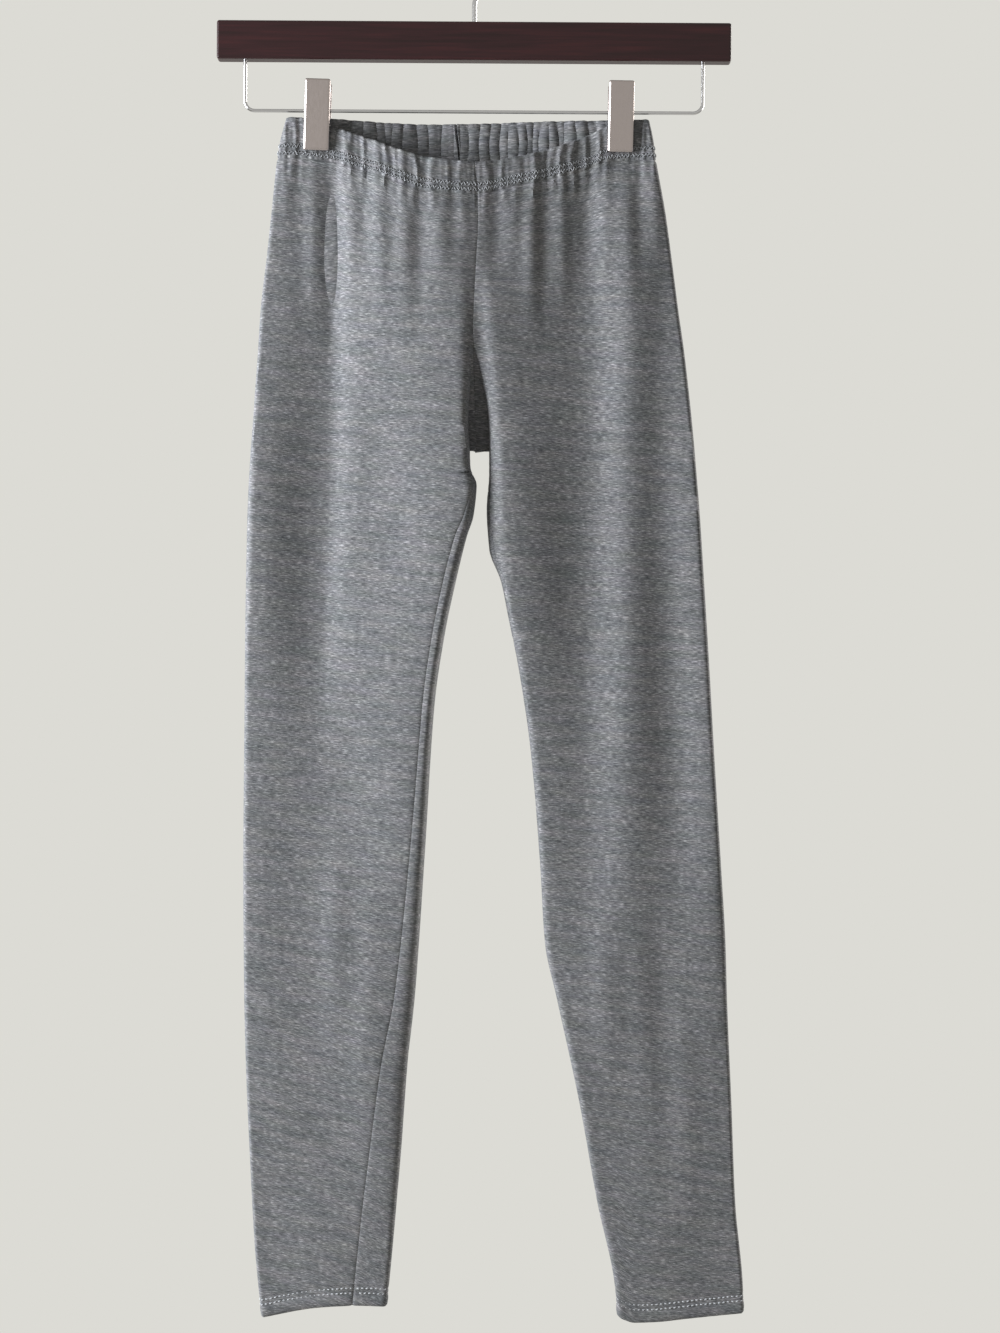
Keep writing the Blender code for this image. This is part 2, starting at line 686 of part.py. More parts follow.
def build_ear(name, facing, along, stand_off):
    """A tab from the plate to the rail with a round end and a hole, drawn as a thick washer."""
    bm = bmesh.new()
    reach = -facing * (stand_off - CLIP_SHEET * 0.5 + math.tan(math.radians(CLIP_LEAN)) * CLIP_BELOW)
    outline = [(reach, EAR_RADIUS), (reach, -EAR_RADIUS)]
    start = -90 if facing > 0 else 270
    end = 90
    count = 10
    for a in np.radians(np.linspace(start, end, count)):
        outline.append((EAR_RADIUS * math.cos(a), EAR_RADIUS * math.sin(a)))
    bottom = [bm.verts.new(((along - EAR_THICK / 2) * MM, y * MM, z * MM)) for y, z in outline]
    face = bm.faces.new(bottom)
    out = bmesh.ops.extrude_face_region(bm, geom=[face])
    top = [v for v in out["geom"] if isinstance(v, bmesh.types.BMVert)]
    bmesh.ops.translate(bm, vec=(EAR_THICK * MM, 0, 0), verts=top)
    bmesh.ops.recalc_face_normals(bm, faces=bm.faces[:])
    ear = object_from_bmesh(name, bm, "satin_nickel")
    ear.hide_render = True
    ear.display_type = "WIRE"
    bore = bmesh.new()
    bmesh.ops.create_cone(
        bore, cap_ends=True, segments=16, radius1=EAR_HOLE * MM, radius2=EAR_HOLE * MM,
        depth=3 * EAR_THICK * MM,
        matrix=Matrix.Translation((along * MM, 0, 0)) @ Matrix.Rotation(math.pi / 2, 4, "Y"))
    drill_bit = object_from_bmesh(f"{name}_bore", bore, "satin_nickel")
    drill_bit.hide_render = True
    drill_bit.display_type = "WIRE"
    drill_bit.parent = ear
    cut = ear.modifiers.new("bore", "BOOLEAN")
    cut.operation = "DIFFERENCE"
    cut.object = drill_bit
    cut.solver = "EXACT"
    return ear


def build_hanger():
    build_bar()
    tube("hanger_hook", hook_path(), HOOK_WIRE, 2, "chrome_wire")
    tube("hanger_wire", rail_path(), RAIL_WIRE, 2, "chrome_wire")
    for word, x, turn in CLIPS:
        build_clip(word, x, turn)


def main():
    clear_scene()
    build_cloth()
    build_hanger()


main()
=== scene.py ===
"""Looks of a pair of heather grey leggings that hang from a wooden clip hanger.

Sizes are in millimetres until a mesh is made, which is in metres. +Z is up, the front of the
leggings faces -Y, and +X is the wearer's left. A "drop" is a distance below the crown of the
hook, at the origin, and "out" is a distance from X = 0 towards a leg's own side. Every piece
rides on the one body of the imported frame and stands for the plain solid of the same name.
"""

import math

import bpy
import numpy as np
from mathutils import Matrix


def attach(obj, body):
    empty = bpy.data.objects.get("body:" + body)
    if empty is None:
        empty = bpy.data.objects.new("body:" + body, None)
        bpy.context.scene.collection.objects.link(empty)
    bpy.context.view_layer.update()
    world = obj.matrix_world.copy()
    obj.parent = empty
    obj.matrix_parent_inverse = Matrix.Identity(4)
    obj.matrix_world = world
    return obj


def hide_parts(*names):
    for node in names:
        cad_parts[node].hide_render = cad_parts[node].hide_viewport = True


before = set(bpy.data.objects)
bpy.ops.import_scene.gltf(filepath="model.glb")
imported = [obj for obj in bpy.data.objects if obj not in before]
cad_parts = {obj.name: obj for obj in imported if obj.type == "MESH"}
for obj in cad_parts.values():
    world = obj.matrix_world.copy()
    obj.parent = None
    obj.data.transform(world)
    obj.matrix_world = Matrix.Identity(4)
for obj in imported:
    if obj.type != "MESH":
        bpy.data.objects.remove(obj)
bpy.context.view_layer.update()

MM = 0.001
SHARP_FROM = math.radians(50)  # edges that turn by more than this are shaded as sharp
GAP = -0.4  # sewn edges lap by this much, so no light comes through the seam

# ---------------------------------------------------------------- sizes of the garment

LEG_WALL = 1.2
BAND_WALL = 3.0
HEM_WALL = 2.0

WAIST_TOP = 127.5
BAND_SEAM = 156.0
FORK = 276.0  # the legs begin to part at the front
CROTCH = 356.5
CROTCH_DEPTH = 5.0  # how far behind the middle plane the cleft ends at the crotch
CROTCH_BACK = 8.4  # where the back sheet passes behind it
CLEFT_FADE = 60.0  # below the crotch the inner fold comes forward to the middle plane by here
HEM_STITCH = 942.0
HEM_EDGE = 957.0

# The side edges of the waist and hips.
WAIST = np.array([
    # drop, right side, left side
    (127.0, 129.5, 121.3),
    (141.0, 133.4, 124.4),
    (156.0, 136.0, 126.6),
    (192.0, 139.6, 133.2),
    (220.0, 142.4, 137.2),
    (262.0, 146.9, 142.9),
])

# Each leg below the fork: its outer and inner edge, and how far the inseam lies in from the
# inner edge, on the front when positive and on the back when negative.
RIGHT_LEG = np.array([
    # drop, outer, inner, inseam
    (285.0, 148.2, -0.4, -1.5),
    (323.0, 150.6, 1.9, -1.5),
    (341.0, 151.7, 2.5, -1.5),
    (357.0, 152.9, 1.3, -1.5),
    (369.0, 153.6, 0.7, -0.8),
    (381.0, 154.2, -3.6, 2.0),
    (402.0, 155.0, -1.6, 6.2),
    (417.0, 155.3, 3.0, 7.8),
    (447.0, 155.7, 10.2, 8.4),
    (487.0, 156.0, 18.3, 8.2),
    (535.0, 156.1, 24.8, 8.0),
    (634.0, 156.4, 30.6, 10.0),
    (735.0, 155.2, 37.0, 14.0),
    (783.0, 153.8, 41.9, 18.0),
    (840.0, 151.0, 45.6, 21.4),
    (907.0, 147.0, 50.7, 23.6),
    (957.0, 142.0, 55.0, 24.0),
])
LEFT_LEG = np.array([
    # drop, outer, inner, inseam
    (285.0, 146.3, 0.8, -1.5),
    (309.0, 149.3, 6.9, -1.5),
    (335.0, 152.2, 11.2, -1.5),
    (357.0, 154.4, 12.0, -1.5),
    (373.0, 155.8, 12.1, -0.8),
    (397.0, 157.9, 10.6, 1.0),
    (426.0, 160.0, 12.6, 3.4),
    (448.0, 161.5, 20.9, 2.2),
    (470.0, 163.0, 25.5, 1.4),
    (509.0, 165.6, 33.6, -2.0),
    (567.0, 169.2, 42.3, -6.0),
    (641.0, 174.2, 48.9, -9.0),
    (699.0, 177.9, 52.9, -11.0),
    (735.0, 179.1, 60.9, -12.0),
    (808.0, 182.6, 77.2, -15.0),
    (879.0, 185.7, 90.3, -18.0),
    (936.0, 191.2, 102.6, -20.0),
    (960.0, 192.2, 104.6, -20.0),
])
MIDDLE_SEAMS = np.array([
    # drop, front x, back x
    (127.0, 1.2, -12.0),
    (175.0, 3.6, -9.5),
    (213.0, 2.5, -6.0),
    (285.0, 0.6, 0.0),
    (357.0, 3.0, 3.0),
])

# The flat of the cloth in front of and behind the middle plane, the slack that bulges between
# the clips on top of that, and the radius of the folded sides.
DEPTHS = np.array([
    # drop, front, back, front slack, back slack, fold radius
    (127.0, 3.4, 3.4, 10.0, 7.0, 2.2),
    (156.0, 3.6, 3.6, 9.5, 6.5, 2.2),
    (200.0, 4.2, 4.5, 9.0, 6.0, 2.2),
    (250.0, 4.8, 5.5, 7.0, 5.0, 2.2),
    (300.0, 5.4, 6.5, 4.0, 3.0, 2.3),
    (357.0, 6.0, 7.0, 0.0, 0.0, 2.4),
    (560.0, 6.0, 6.5, 0.0, 0.0, 2.4),
    (735.0, 5.5, 5.5, 0.0, 0.0, 2.3),
    (957.0, 4.5, 4.5, 0.0, 0.0, 2.2),
])
SLACK_FROM, SLACK_TO = -97.0, 91.0  # the slack lies between the inner edges of the two clips
SLACK_SKEW = 0.7  # below 1 its crest lies towards -X
INNER_FOLD = 1.2  # the radius of a leg's inner fold over that of its outer one

# The slack front edge sags between the clips, and each hem hangs off the level.
FRONT_SAG = np.array([
    # x, sag of the waist edge, sag of the casing seam
    (-120.0, 0.0, 0.0),
    (-99.0, 6.5, 2.0),
    (-82.0, 12.0, 7.0),
    (-65.0, 18.5, 12.0),
    (-47.0, 25.0, 19.0),
    (-28.0, 29.5, 24.0),
    (1.0, 31.8, 25.0),
    (32.0, 27.2, 18.0),
    (50.0, 22.4, 14.0),
    (74.0, 14.0, 8.0),
    (92.0, 5.7, 1.5),
    (112.0, 0.0, 0.0),
])
BACK_SAG = 2.0
SAG_REACH = 110.0  # below the casing seam the sag has faded out at this distance
RIGHT_HEM = np.array([
    # out, lift of the hem
    (54.0, 7.0),
    (76.0, 7.6),
    (88.0, 7.2),
    (104.0, 6.0),
    (142.0, -1.0),
])
LEFT_HEM = np.array([
    # out, lift of the hem
    (103.0, 1.5),
    (109.0, -1.0),
    (116.0, -3.0),
    (131.0, -2.4),
    (152.0, 0.0),
    (192.0, 4.2),
])
HEM_LIFT_REACH = 180.0  # above its edge the hem's lift has faded out at this distance

# How the pieces meet and how they are pressed, in mm.
TUCK = 0.8  # how deep the top of a leg lies under the casing
BAND_GROOVE, LEG_GROOVE, HEM_GROOVE = 0.7, 0.55, 1.0  # depth of the seams in each piece
GROOVE_WIDTH = 1.1
LEG_PUCKER, PUCKER_FADE = 0.12, 4.5  # height of the puckers beside a leg's seams, and their reach
ROW_SINK, ROW_WIDTH = 0.5, 1.6  # the stitch rows' hollow in the casing
HEM_ROLL, HEM_ROLL_DEPTH = 1.5, 0.9  # how far from its edge, and how deep, the hem's fold rolls in
HEM_SINK, HEM_SINK_WIDTH = 0.35, 0.9  # the stitch rows' hollow in the hem
HEM_STEP, HEM_STEP_WIDTH = 0.12, 0.8  # the hem starts this far behind the leg
HEM_SWELL, HEM_SWELL_WIDTH, HEM_SWELL_DROP = 0.35, 3.0, 952.0  # and swells below its stitches

# The grids of cloth: the drops of their rows, and their columns in front and behind.
FLAT_POINTS = 140  # points of a section from a leg's middle to a fold
ROLL_POINTS = 30  # and round the fold
FLOOR_POINTS = 8  # and along the bottom of the cleft between the legs
SEAM_STEPS = np.array([0.0, 0.4, 0.85, 1.4, 2.1, 3.1])  # columns beside a seam, in mm from it
SEAM_CLEAR = 1.2  # from those to the first of the others
CROWDING = 1.2  # above 1 the columns stand closer together towards the side fold
BAND_COLUMNS = (118, 108)
LEG_COLUMNS = (80, 64)
BAND_DROPS = np.linspace(WAIST_TOP + BAND_WALL / 2, BAND_SEAM - BAND_WALL / 2, 26)
LEG_DROPS = np.concatenate([
    np.linspace(BAND_SEAM - 2.5, BAND_SEAM + 40, 34),
    np.linspace(BAND_SEAM + 41.5, FORK, 34),
    np.linspace(FORK + 1.6, CROTCH, 46),
    np.linspace(CROTCH + 0.8, CROTCH + 70, 42),
    np.linspace(CROTCH + 72, HEM_STITCH, 108),
])
HEM_DROPS = np.linspace(HEM_STITCH, HEM_EDGE, 14)
EDGE_STEPS = 8  # steps of the half circle at the casing's top and at its lower edge
SPIRAL = {-1: (0.10, 0.34), 1: (0.06, 0.22)}  # rise of the courses across a leg, at hip and hem

# Sewing thread, drawn thicker than the real 0.3 mm so that it shows.
THREAD_RADIUS = 0.45
THREAD_INSET = 1.2  # from a seam to the first stitch
THREAD_RINGS = 6
THREAD_SIDES = 6
THREAD_ARCH, THREAD_SUNK = 1.5, 0.75  # a stitch's height and how deep it starts, in thread radii
THREAD_TIP = 0.55  # its thickness at the ends over that in the middle
CASING_ROWS = (147.4, 152.4)  # drops of the two rows of stitches that hold the casing
HEM_ROWS = (944.6, 948.0)  # and of the twin row along each hem
ZIGZAG = (1.25, 1.25, 1.3, 0.2, 0.9, 0.1)  # pitch, length, slant, wander, lift and unevenness
TWIN_ROW = (3.1, 2.35, 0.0, 0.25, -0.8, 0.6)  # the same of the hem's stitches

# ---------------------------------------------------------------- creases and gathers

# Long soft creases. Each has the width of its flank towards -X, of its flank towards +X, and
# its crest as drop, x and height; a trough has a height below zero.
FRONT_CREASES = (
    # Right leg: the rim at the outer fold, the hollow under the clip, and the swell beside it.
    (5, 44, ((230, -142, 0.0), (320, -148, 4.5), (420, -151, 7.0), (520, -153, 7.5), (620, -153, 6.5),
             (760, -152, 3.5), (900, -148, 0.0))),
    (32, 12, ((158, -98, -2.0), (200, -98, -4.5), (300, -98, -6.0), (420, -101, -5.5), (500, -104, -3.0),
             (580, -110, 0.0))),
    (58, 9, ((190, -12, 0.0), (254, -9, 3.5), (300, -8, 7.5), (357, -6, 11.5), (385, -3, 12.5),
             (430, -10, 12.5), (487, -22, 12.0), (540, -29, 10.5), (660, -38, 7.5), (800, -52, 3.5),
             (900, -60, 1.0))),
    # Left leg: the swell inside the thigh, the hollow beyond it, the ridge under the clip, the
    # second hollow and the rise to the outer fold.
    (8, 42, ((215, 11, 0.0), (254, 13, 3.5), (320, 18, 7.0), (370, 21, 9.5), (440, 25, 8.0), (520, 38, 3.5),
             (640, 58, 1.0), (760, 80, 0.0))),
    (26, 17, ((160, 79, -1.0), (240, 79, -2.5), (400, 80, -3.0), (560, 78, -2.5), (700, 84, -1.0))),
    (17, 22, ((160, 104, 1.0), (200, 107, 3.5), (300, 109, 5.0), (460, 110, 4.5), (600, 109, 3.5),
              (760, 106, 1.0))),
    (18, 17, ((180, 124, -0.5), (240, 128, -1.5), (400, 136, -2.0), (560, 142, -2.0), (680, 150, -0.5))),
    (22, 8, ((230, 141, 0.0), (330, 150, 3.5), (520, 162, 4.5), (640, 169, 3.5), (760, 173, 1.0))),
    # Faint long creases low on both legs.
    (8, 9, ((600, -92, 0.0), (680, -92, 1.0), (780, -94, 0.2))),
    (9, 12, ((640, -66, 0.0), (720, -68, 0.9), (830, -72, 0.3))),
    (8, 10, ((640, 92, 0.0), (720, 93, 1.1), (800, 100, 0.0))),
    (9, 10, ((660, 118, 0.0), (740, 120, 1.0), (850, 126, 0.2))),
    (8, 9, ((700, 142, 0.0), (800, 150, 0.9), (900, 152, 0.2))),
)
BACK_CREASES = (
    (30, 12, ((280, -140, 0.0), (400, -144, 3.0), (620, -148, 2.5), (780, -148, 0.5))),
    (16, 20, ((160, -100, -1.5), (240, -98, -4.0), (380, -96, -3.5), (560, -100, -1.0))),
    (30, 26, ((220, -52, 0.0), (330, -56, 5.0), (520, -66, 5.0), (700, -78, 2.5), (880, -92, 0.5))),
    (24, 30, ((220, 48, 0.0), (330, 54, 5.0), (520, 74, 5.0), (700, 98, 2.5), (880, 130, 0.5))),
    (16, 18, ((160, 99, -1.5), (260, 98, -4.0), (400, 104, -3.5), (580, 112, -1.0))),
    (18, 12, ((260, 134, 0.0), (380, 142, 2.5), (600, 158, 2.5), (760, 166, 0.5))),
    (10, 12, ((620, -104, 0.0), (720, -102, 1.1), (830, -100, 0.0))),
    (10, 11, ((600, 122, 0.0), (730, 132, 1.1), (860, 146, 0.2))),
)

# Pleats that start in the gathered casing and die out down the hips.
FRONT_PLEATS = (
    # x at the casing, x at the end, drop at the end, width, height
    (-128, -131, 215, 4.0, 0.9),
    (-111, -109, 300, 6.0, 1.6),
    (-97, -97, 330, 5.0, -1.4),
    (-86, -85, 290, 5.0, 1.5),
    (-75, -74, 250, 4.5, -1.4),
    (-65, -62, 290, 6.0, 1.8),
    (-47, -48, 285, 7.0, 1.6),
    (-37, -36, 310, 5.5, -1.3),
    (-23, -20, 260, 6.0, 1.5),
    (-6, -7, 225, 4.5, 1.0),
    (16, 16, 250, 5.0, -1.2),
    (27, 30, 240, 5.0, 0.9),
    (40, 40, 300, 5.5, 1.9),
    (49, 50, 290, 4.5, -1.3),
    (61, 63, 285, 5.5, 1.8),
    (78, 79, 260, 6.0, -1.4),
    (90, 92, 300, 5.5, 1.3),
    (113, 117, 270, 5.0, -1.4),
    (124, 130, 250, 5.0, 1.3),
)
BACK_PLEATS = (
    (-122, -124, 230, 5.0, 1.1),
    (-84, -82, 280, 6.0, 1.8),
    (-66, -62, 250, 5.5, 1.3),
    (-40, -38, 270, 6.0, 1.6),
    (-24, -22, 230, 5.0, 1.1),
    (18, 20, 260, 6.0, 1.6),
    (42, 44, 240, 5.5, 1.3),
    (62, 66, 270, 6.0, 1.7),
    (82, 84, 250, 5.5, 1.3),
    (116, 122, 240, 5.0, 1.1),
)

# Crests of the fine gathers in the casing, each with its height. They are uneven, as the
# elastic's stitches pull them up.
FRONT_GATHERS = np.array([
    # x, height
    (-131.0, 0.5), (-124.0, 0.8), (-117.5, 0.5), (-97.0, 0.6), (-89.5, 1.0), (-85.5, 0.7), (-76.0, 1.1),
    (-66.5, 0.8), (-60.5, 1.0), (-54.5, 0.7), (-49.0, 1.0), (-40.0, 1.2), (-36.0, 0.6), (-28.5, 1.1),
    (-18.0, 0.5), (-9.0, 0.6), (9.0, 0.6), (20.0, 0.7), (30.5, 0.6), (42.5, 1.1), (48.0, 0.8),
    (54.0, 1.0), (60.5, 0.9), (68.5, 1.1), (77.0, 1.1), (86.0, 0.9), (93.0, 0.6), (112.0, 0.5),
    (118.0, 0.8), (123.5, 0.5),
])
BACK_GATHERS = np.array([
    # x, height
    (-126.0, 0.6), (-119.0, 0.9), (-95.0, 0.6), (-87.0, 0.8), (-77.0, 0.9), (-68.5, 0.8), (-62.0, 1.1),
    (-56.5, 0.7), (-49.5, 1.0), (-40.0, 0.9), (-32.0, 1.1), (-22.0, 0.6), (-4.0, 0.7), (4.5, 1.0),
    (11.5, 0.9), (19.0, 1.1), (25.0, 0.8), (30.5, 1.1), (36.0, 0.8), (41.5, 1.1), (47.0, 1.0),
    (52.0, 0.8), (57.5, 1.1), (63.0, 0.7), (71.0, 1.0), (79.0, 1.1), (85.0, 0.7), (112.0, 0.6),
    (119.0, 0.8),
])
GATHER_WIDTH = 1.9
GATHER_DRAWN = 1.5  # the crests are drawn this much higher than the tables say
GATHER_LEAN = 1.2  # how far a crest wanders sideways
PUCKER_PITCH, PUCKER_HEIGHT = 3.9, 0.22  # the smallest puckers, between the gathers
GATHER_REACH = 26.0  # below the casing the gathers have smoothed out at this distance

# ---------------------------------------------------------------- sizes of the hanger

BAR_LENGTH = 355.6
BAR_THICK = 13.0
BAR_TOP = 61.2
BAR_BOTTOM = 87.9
HOOK_WIRE = 3.3
HOOK_INNER_RADIUS = 20.0
HOOK_NECK = 49.0  # the stem is straight below this drop
HOOK_START = -50.0  # degrees round the hook's circle, where the neck joins it
HOOK_END = 196.0
NECK_PULL = 0.45  # length of the neck curve's handles over its span
SOCKET = 6.0  # how far the hook and the rail wire run into the bar
BAR_EDGE = 1.7  # the bar's long edges are eased with this rounding
RAIL_WIRE = 2.4
RAIL_HALF = 158.5
RAIL_DROP = 122.6
RAIL_CORNER = 6.8
CLIP_WIDTH = 17.6
CLIP_ABOVE = 20.5
CLIP_BELOW = 28.5
CLIP_CORNER = 1.5
CLIP_LEAN = 4.0
CLIP_STAND_OFF = 7.2  # from the middle plane to the outer face at the jaw
CLIPS = (
    # name, x at the rail, turn in degrees seen from the front
    ("right", -108.1, 1.5),
    ("left", 101.8, 0.8),
)
# The clip plate's pressed profile, from its outer face round the rim to its floor.
PLATE_PROFILE = (
    # in from the outline, back from the outer face
    (2.2, 0.0), (1.55, 0.0), (1.3, 0.03), (1.05, 0.14), (0.3, 0.8), (0.1, 1.02), (0.0, 1.3), (0.0, 3.25),
    (0.07, 3.42), (0.25, 3.5), (0.62, 3.5), (0.82, 3.42), (0.9, 3.25), (0.9, 1.9), (1.0, 1.65),
    (1.8, 0.95), (2.1, 0.9), (2.6, 0.9),
)
LEAST_CORNER = 0.12  # the profile's corners are never sharper than this
CORNER_POINTS = 7
EAR_RADIUS, EAR_BORE = 2.7, 1.8  # of the tabs that hold a plate on the rail
EAR_REACH = 8.7  # from the rail to the tab's root in the plate
EAR_THICK = 0.9
EAR_POINTS = 32
EARS = (
    # face, 1 in front and -1 behind, distance of its two tabs from the clip's middle
    ("front", 1, 6.6),
    ("back", -1, 5.3),
)
SPRING_WIRE = 0.9
SPRING_TURNS, SPRING_HALF, SPRING_RADIUS = 4.0, 3.5, 2.5
SPRING_ARM = ((-6.6, 10.2), (-4.2, 7.4), (-1.6, 3.6))  # y and z, from the thumb end to the coil
SPRING_POINTS = 160

# ---------------------------------------------------------------- sizes of the room

VIEW_X, VIEW_Z = 20.5, -506.7  # where the camera's axis meets the cloth
CLOTH_PLANE = -10.0
CAMERA_BACK = 1800.0
FRAME_HEIGHT = 918.4  # mm of the cloth's plane that the long side of the frame takes in
SENSOR = 36.0
CAMERA_ROLL = 0.35
FLOOR_DROP = 1800.0
FLOOR_RADIUS = 3000.0
FLOOR_SIDES = 96
LAMPS = (
    # name, place, target, width, height, watts, colour
    ("window_lamp", (-1200, -440, -290), (0, 0, -440), 700, 860, 39, "#f7faff"),
    ("back_lamp", (1500, 1000, -100), (0, 0, -480), 700, 1100, 34, "#fffaf4"),
)

# ---------------------------------------------------------------- small tools


def colour(text):
    """A linear colour with alpha from an sRGB hex value such as "#7a7b7d"."""
    channels = [int(text[i:i + 2], 16) / 255 for i in (1, 3, 5)]
    return [c / 12.92 if c <= 0.04045 else ((c + 0.055) / 1.055) ** 2.4 for c in channels] + [1.0]


def smooth(at, table, column):
    """A table's column at the given places, on a cubic that never overshoots its rows."""
    knots, values = table[:, 0], table[:, column]
    step = np.diff(knots)
    slope = np.diff(values) / step
    tangent = np.concatenate([slope[:1], np.zeros(len(slope) - 1), slope[-1:]])
    rising = slope[:-1] * slope[1:] > 0
    tangent[1:-1][rising] = (2 * slope[:-1] * slope[1:])[rising] / (slope[:-1] + slope[1:])[rising]
    at = np.clip(np.asarray(at, dtype=float), knots[0], knots[-1])
    i = np.clip(np.searchsorted(knots, at) - 1, 0, len(step) - 1)
    t = (at - knots[i]) / step[i]
    rise = t * t * (3 - 2 * t)
    return (
        values[i] + (values[i + 1] - values[i]) * rise
        + step[i] * tangent[i] * t * (1 - t) ** 2
        - step[i] * tangent[i + 1] * (1 - t) * t * t
    )


def ease(value, start, end):
    """0 at start and 1 at end, with a soft start and finish."""
    t = np.clip((np.asarray(value, dtype=float) - start) / (end - start), 0, 1)
    return t * t * (3 - 2 * t)


def bump(distance, left, right):
    """A soft hill: 1 on the crest, falling as exp(-(distance / width) squared) on each flank."""
    return np.exp(-((distance / np.where(distance < 0, left, right)) ** 2))


def grid_quads(rows, columns, start=0, flip=False, round_rows=False, round_columns=False):
    """The quads of a grid of vertices, joined end to end where it goes round."""
    i = np.arange(rows if round_rows else rows - 1)[:, None]
    j = np.arange(columns if round_columns else columns - 1)[None, :]
    a = i * columns + j
    b = (i + 1) % rows * columns + j
    c = (i + 1) % rows * columns + (j + 1) % columns
    d = i * columns + (j + 1) % columns
    quads = np.stack([a, b, c, d], axis=-1).reshape(-1, 4) + start
    return quads[:, ::-1] if flip else quads


def surface_normals(points):
    """Unit normals of a grid: its column direction crossed with its row direction."""
    across = np.gradient(points, axis=1)
    down = np.gradient(points, axis=0)
    normal = np.cross(across, down)
    return normal / np.maximum(np.linalg.norm(normal, axis=2, keepdims=True), 1e-9)


def add_piece(name, points, quads, finish, slot, nodes=(), uv=None):
    """A named mesh in metres that rides on the frame and stands for the given solids."""
    mesh = bpy.data.meshes.new(name)
    mesh.from_pydata((np.asarray(points) * MM).tolist(), [], [list(q) for q in quads])
    if uv is not None:
        layer = mesh.uv_layers.new(name="flat_cloth")
        corner = np.zeros(len(mesh.loops), dtype=np.int32)
        mesh.loops.foreach_get("vertex_index", corner)
        layer.data.foreach_set("uv", (np.asarray(uv)[corner] * MM).astype(np.float32).ravel())
    mesh.shade_smooth()
    mesh.set_sharp_from_angle(angle=SHARP_FROM)
    mesh.materials.append(finish)
    item = bpy.data.objects.new(name, mesh)
    bpy.context.scene.collection.objects.link(item)
    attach(item, "root")
    if nodes:
        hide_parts(*nodes)
    return item


# ---------------------------------------------------------------- the form of the cloth


def slack(x):
    """The buckled shape of the waist between the jaws: a skewed sine squared, 0 at each jaw."""
    return np.sin(math.pi * np.clip((x - SLACK_FROM) / (SLACK_TO - SLACK_FROM), 0, 1) ** SLACK_SKEW) ** 2


def creases(x, drop, rows):
    """The long creases at x on one section: soft hills along their crests."""
    height = np.zeros_like(x)
    for left, right, crest in rows:
        path = np.array(crest, dtype=float)
        if path[0, 0] < drop < path[-1, 0]:
            height += smooth(drop, path, 2) * bump(x - smooth(drop, path, 1), left, right)
    return height


def pleats(x, drop, rows):
    """The pleats at x on one section, strongest just under the casing."""
    height = np.zeros_like(x)
    for x_top, x_end, end, width, rise in rows:
        if drop < end:
            along = (drop - BAND_SEAM) / (end - BAND_SEAM)
            middle = x_top + (x_end - x_top) * max(along, 0)
            fade = 0.75 + 0.25 * ease(along, 0, 0.25) if along > 0 else 0.75
            height += rise * fade * (1 - ease(along, 0.3, 1)) * bump(x - middle, width, width)
    return height


def gathers(x, drop, rows):
    """The fine gathers: sharp little crests that swell in mid casing and fade below it."""
    middle = ease(drop, WAIST_TOP - 4, WAIST_TOP + 8)
    strength = (0.55 + 0.45 * middle) * (1 - ease(drop, BAND_SEAM, BAND_SEAM + GATHER_REACH))
    if strength <= 0:
        return np.zeros_like(x)
    lean = GATHER_LEAN * math.sin(drop / 7.0)
    near = x[:, None] - rows[:, 0] - lean * np.sin(rows[:, 0] * 0.9)
    crests = (rows[:, 1] * np.exp(-((near / GATHER_WIDTH) ** 2))).sum(axis=1)
    puckers = PUCKER_HEIGHT * np.sin(x * 2 * math.pi / PUCKER_PITCH + 2 * np.sin(x / 9))
    return strength * (GATHER_DRAWN * crests + puckers)


def undulation(x, drop, phase):
    """Slow unevenness of hanging jersey: three long crossed waves of less than half a mm."""
    return (
        0.28 * np.sin(x / 17 + drop / 61 + phase) * math.sin(drop / 83 + 2 * phase)
        + 0.22 * np.sin(x / 9.5 - drop / 45 + 3 * phase)
        + 0.14 * np.sin(x / 31 + drop / 19 + phase)
    ) * ease(drop, BAND_SEAM, BAND_SEAM + 60)


def front_depth(x, drop):
    """How far the front stands before the middle plane."""
    flat = smooth(drop, DEPTHS, 1) + smooth(drop, DEPTHS, 3) * slack(x)
    return (flat + creases(x, drop, FRONT_CREASES) + pleats(x, drop, FRONT_PLEATS)
            + gathers(x, drop, FRONT_GATHERS) + undulation(x, drop, 0.4))


def back_depth(x, drop):
    """How far the back stands behind the middle plane."""
    flat = smooth(drop, DEPTHS, 2) + smooth(drop, DEPTHS, 4) * slack(x)
    return (flat + creases(x, drop, BACK_CREASES) + pleats(x, drop, BACK_PLEATS)
            + gathers(x, drop, BACK_GATHERS) + undulation(x, drop, 1.9))


def quarter(middle, edge, radius):
    """Places from the middle of a leg out to a fold, and how full the section is at each.

    The fullness is 1 on the flat and falls to 0 round a quarter circle of the given radius.
    """
    way = 1 if edge > middle else -1
    turn = np.linspace(0, math.pi / 2, ROLL_POINTS)
    flat = np.linspace(middle, edge - way * radius, FLAT_POINTS)[:-1]
    out = np.concatenate([flat, edge - way * radius * (1 - np.sin(turn))])
    return out, np.concatenate([np.ones(len(flat)), np.cos(turn)])


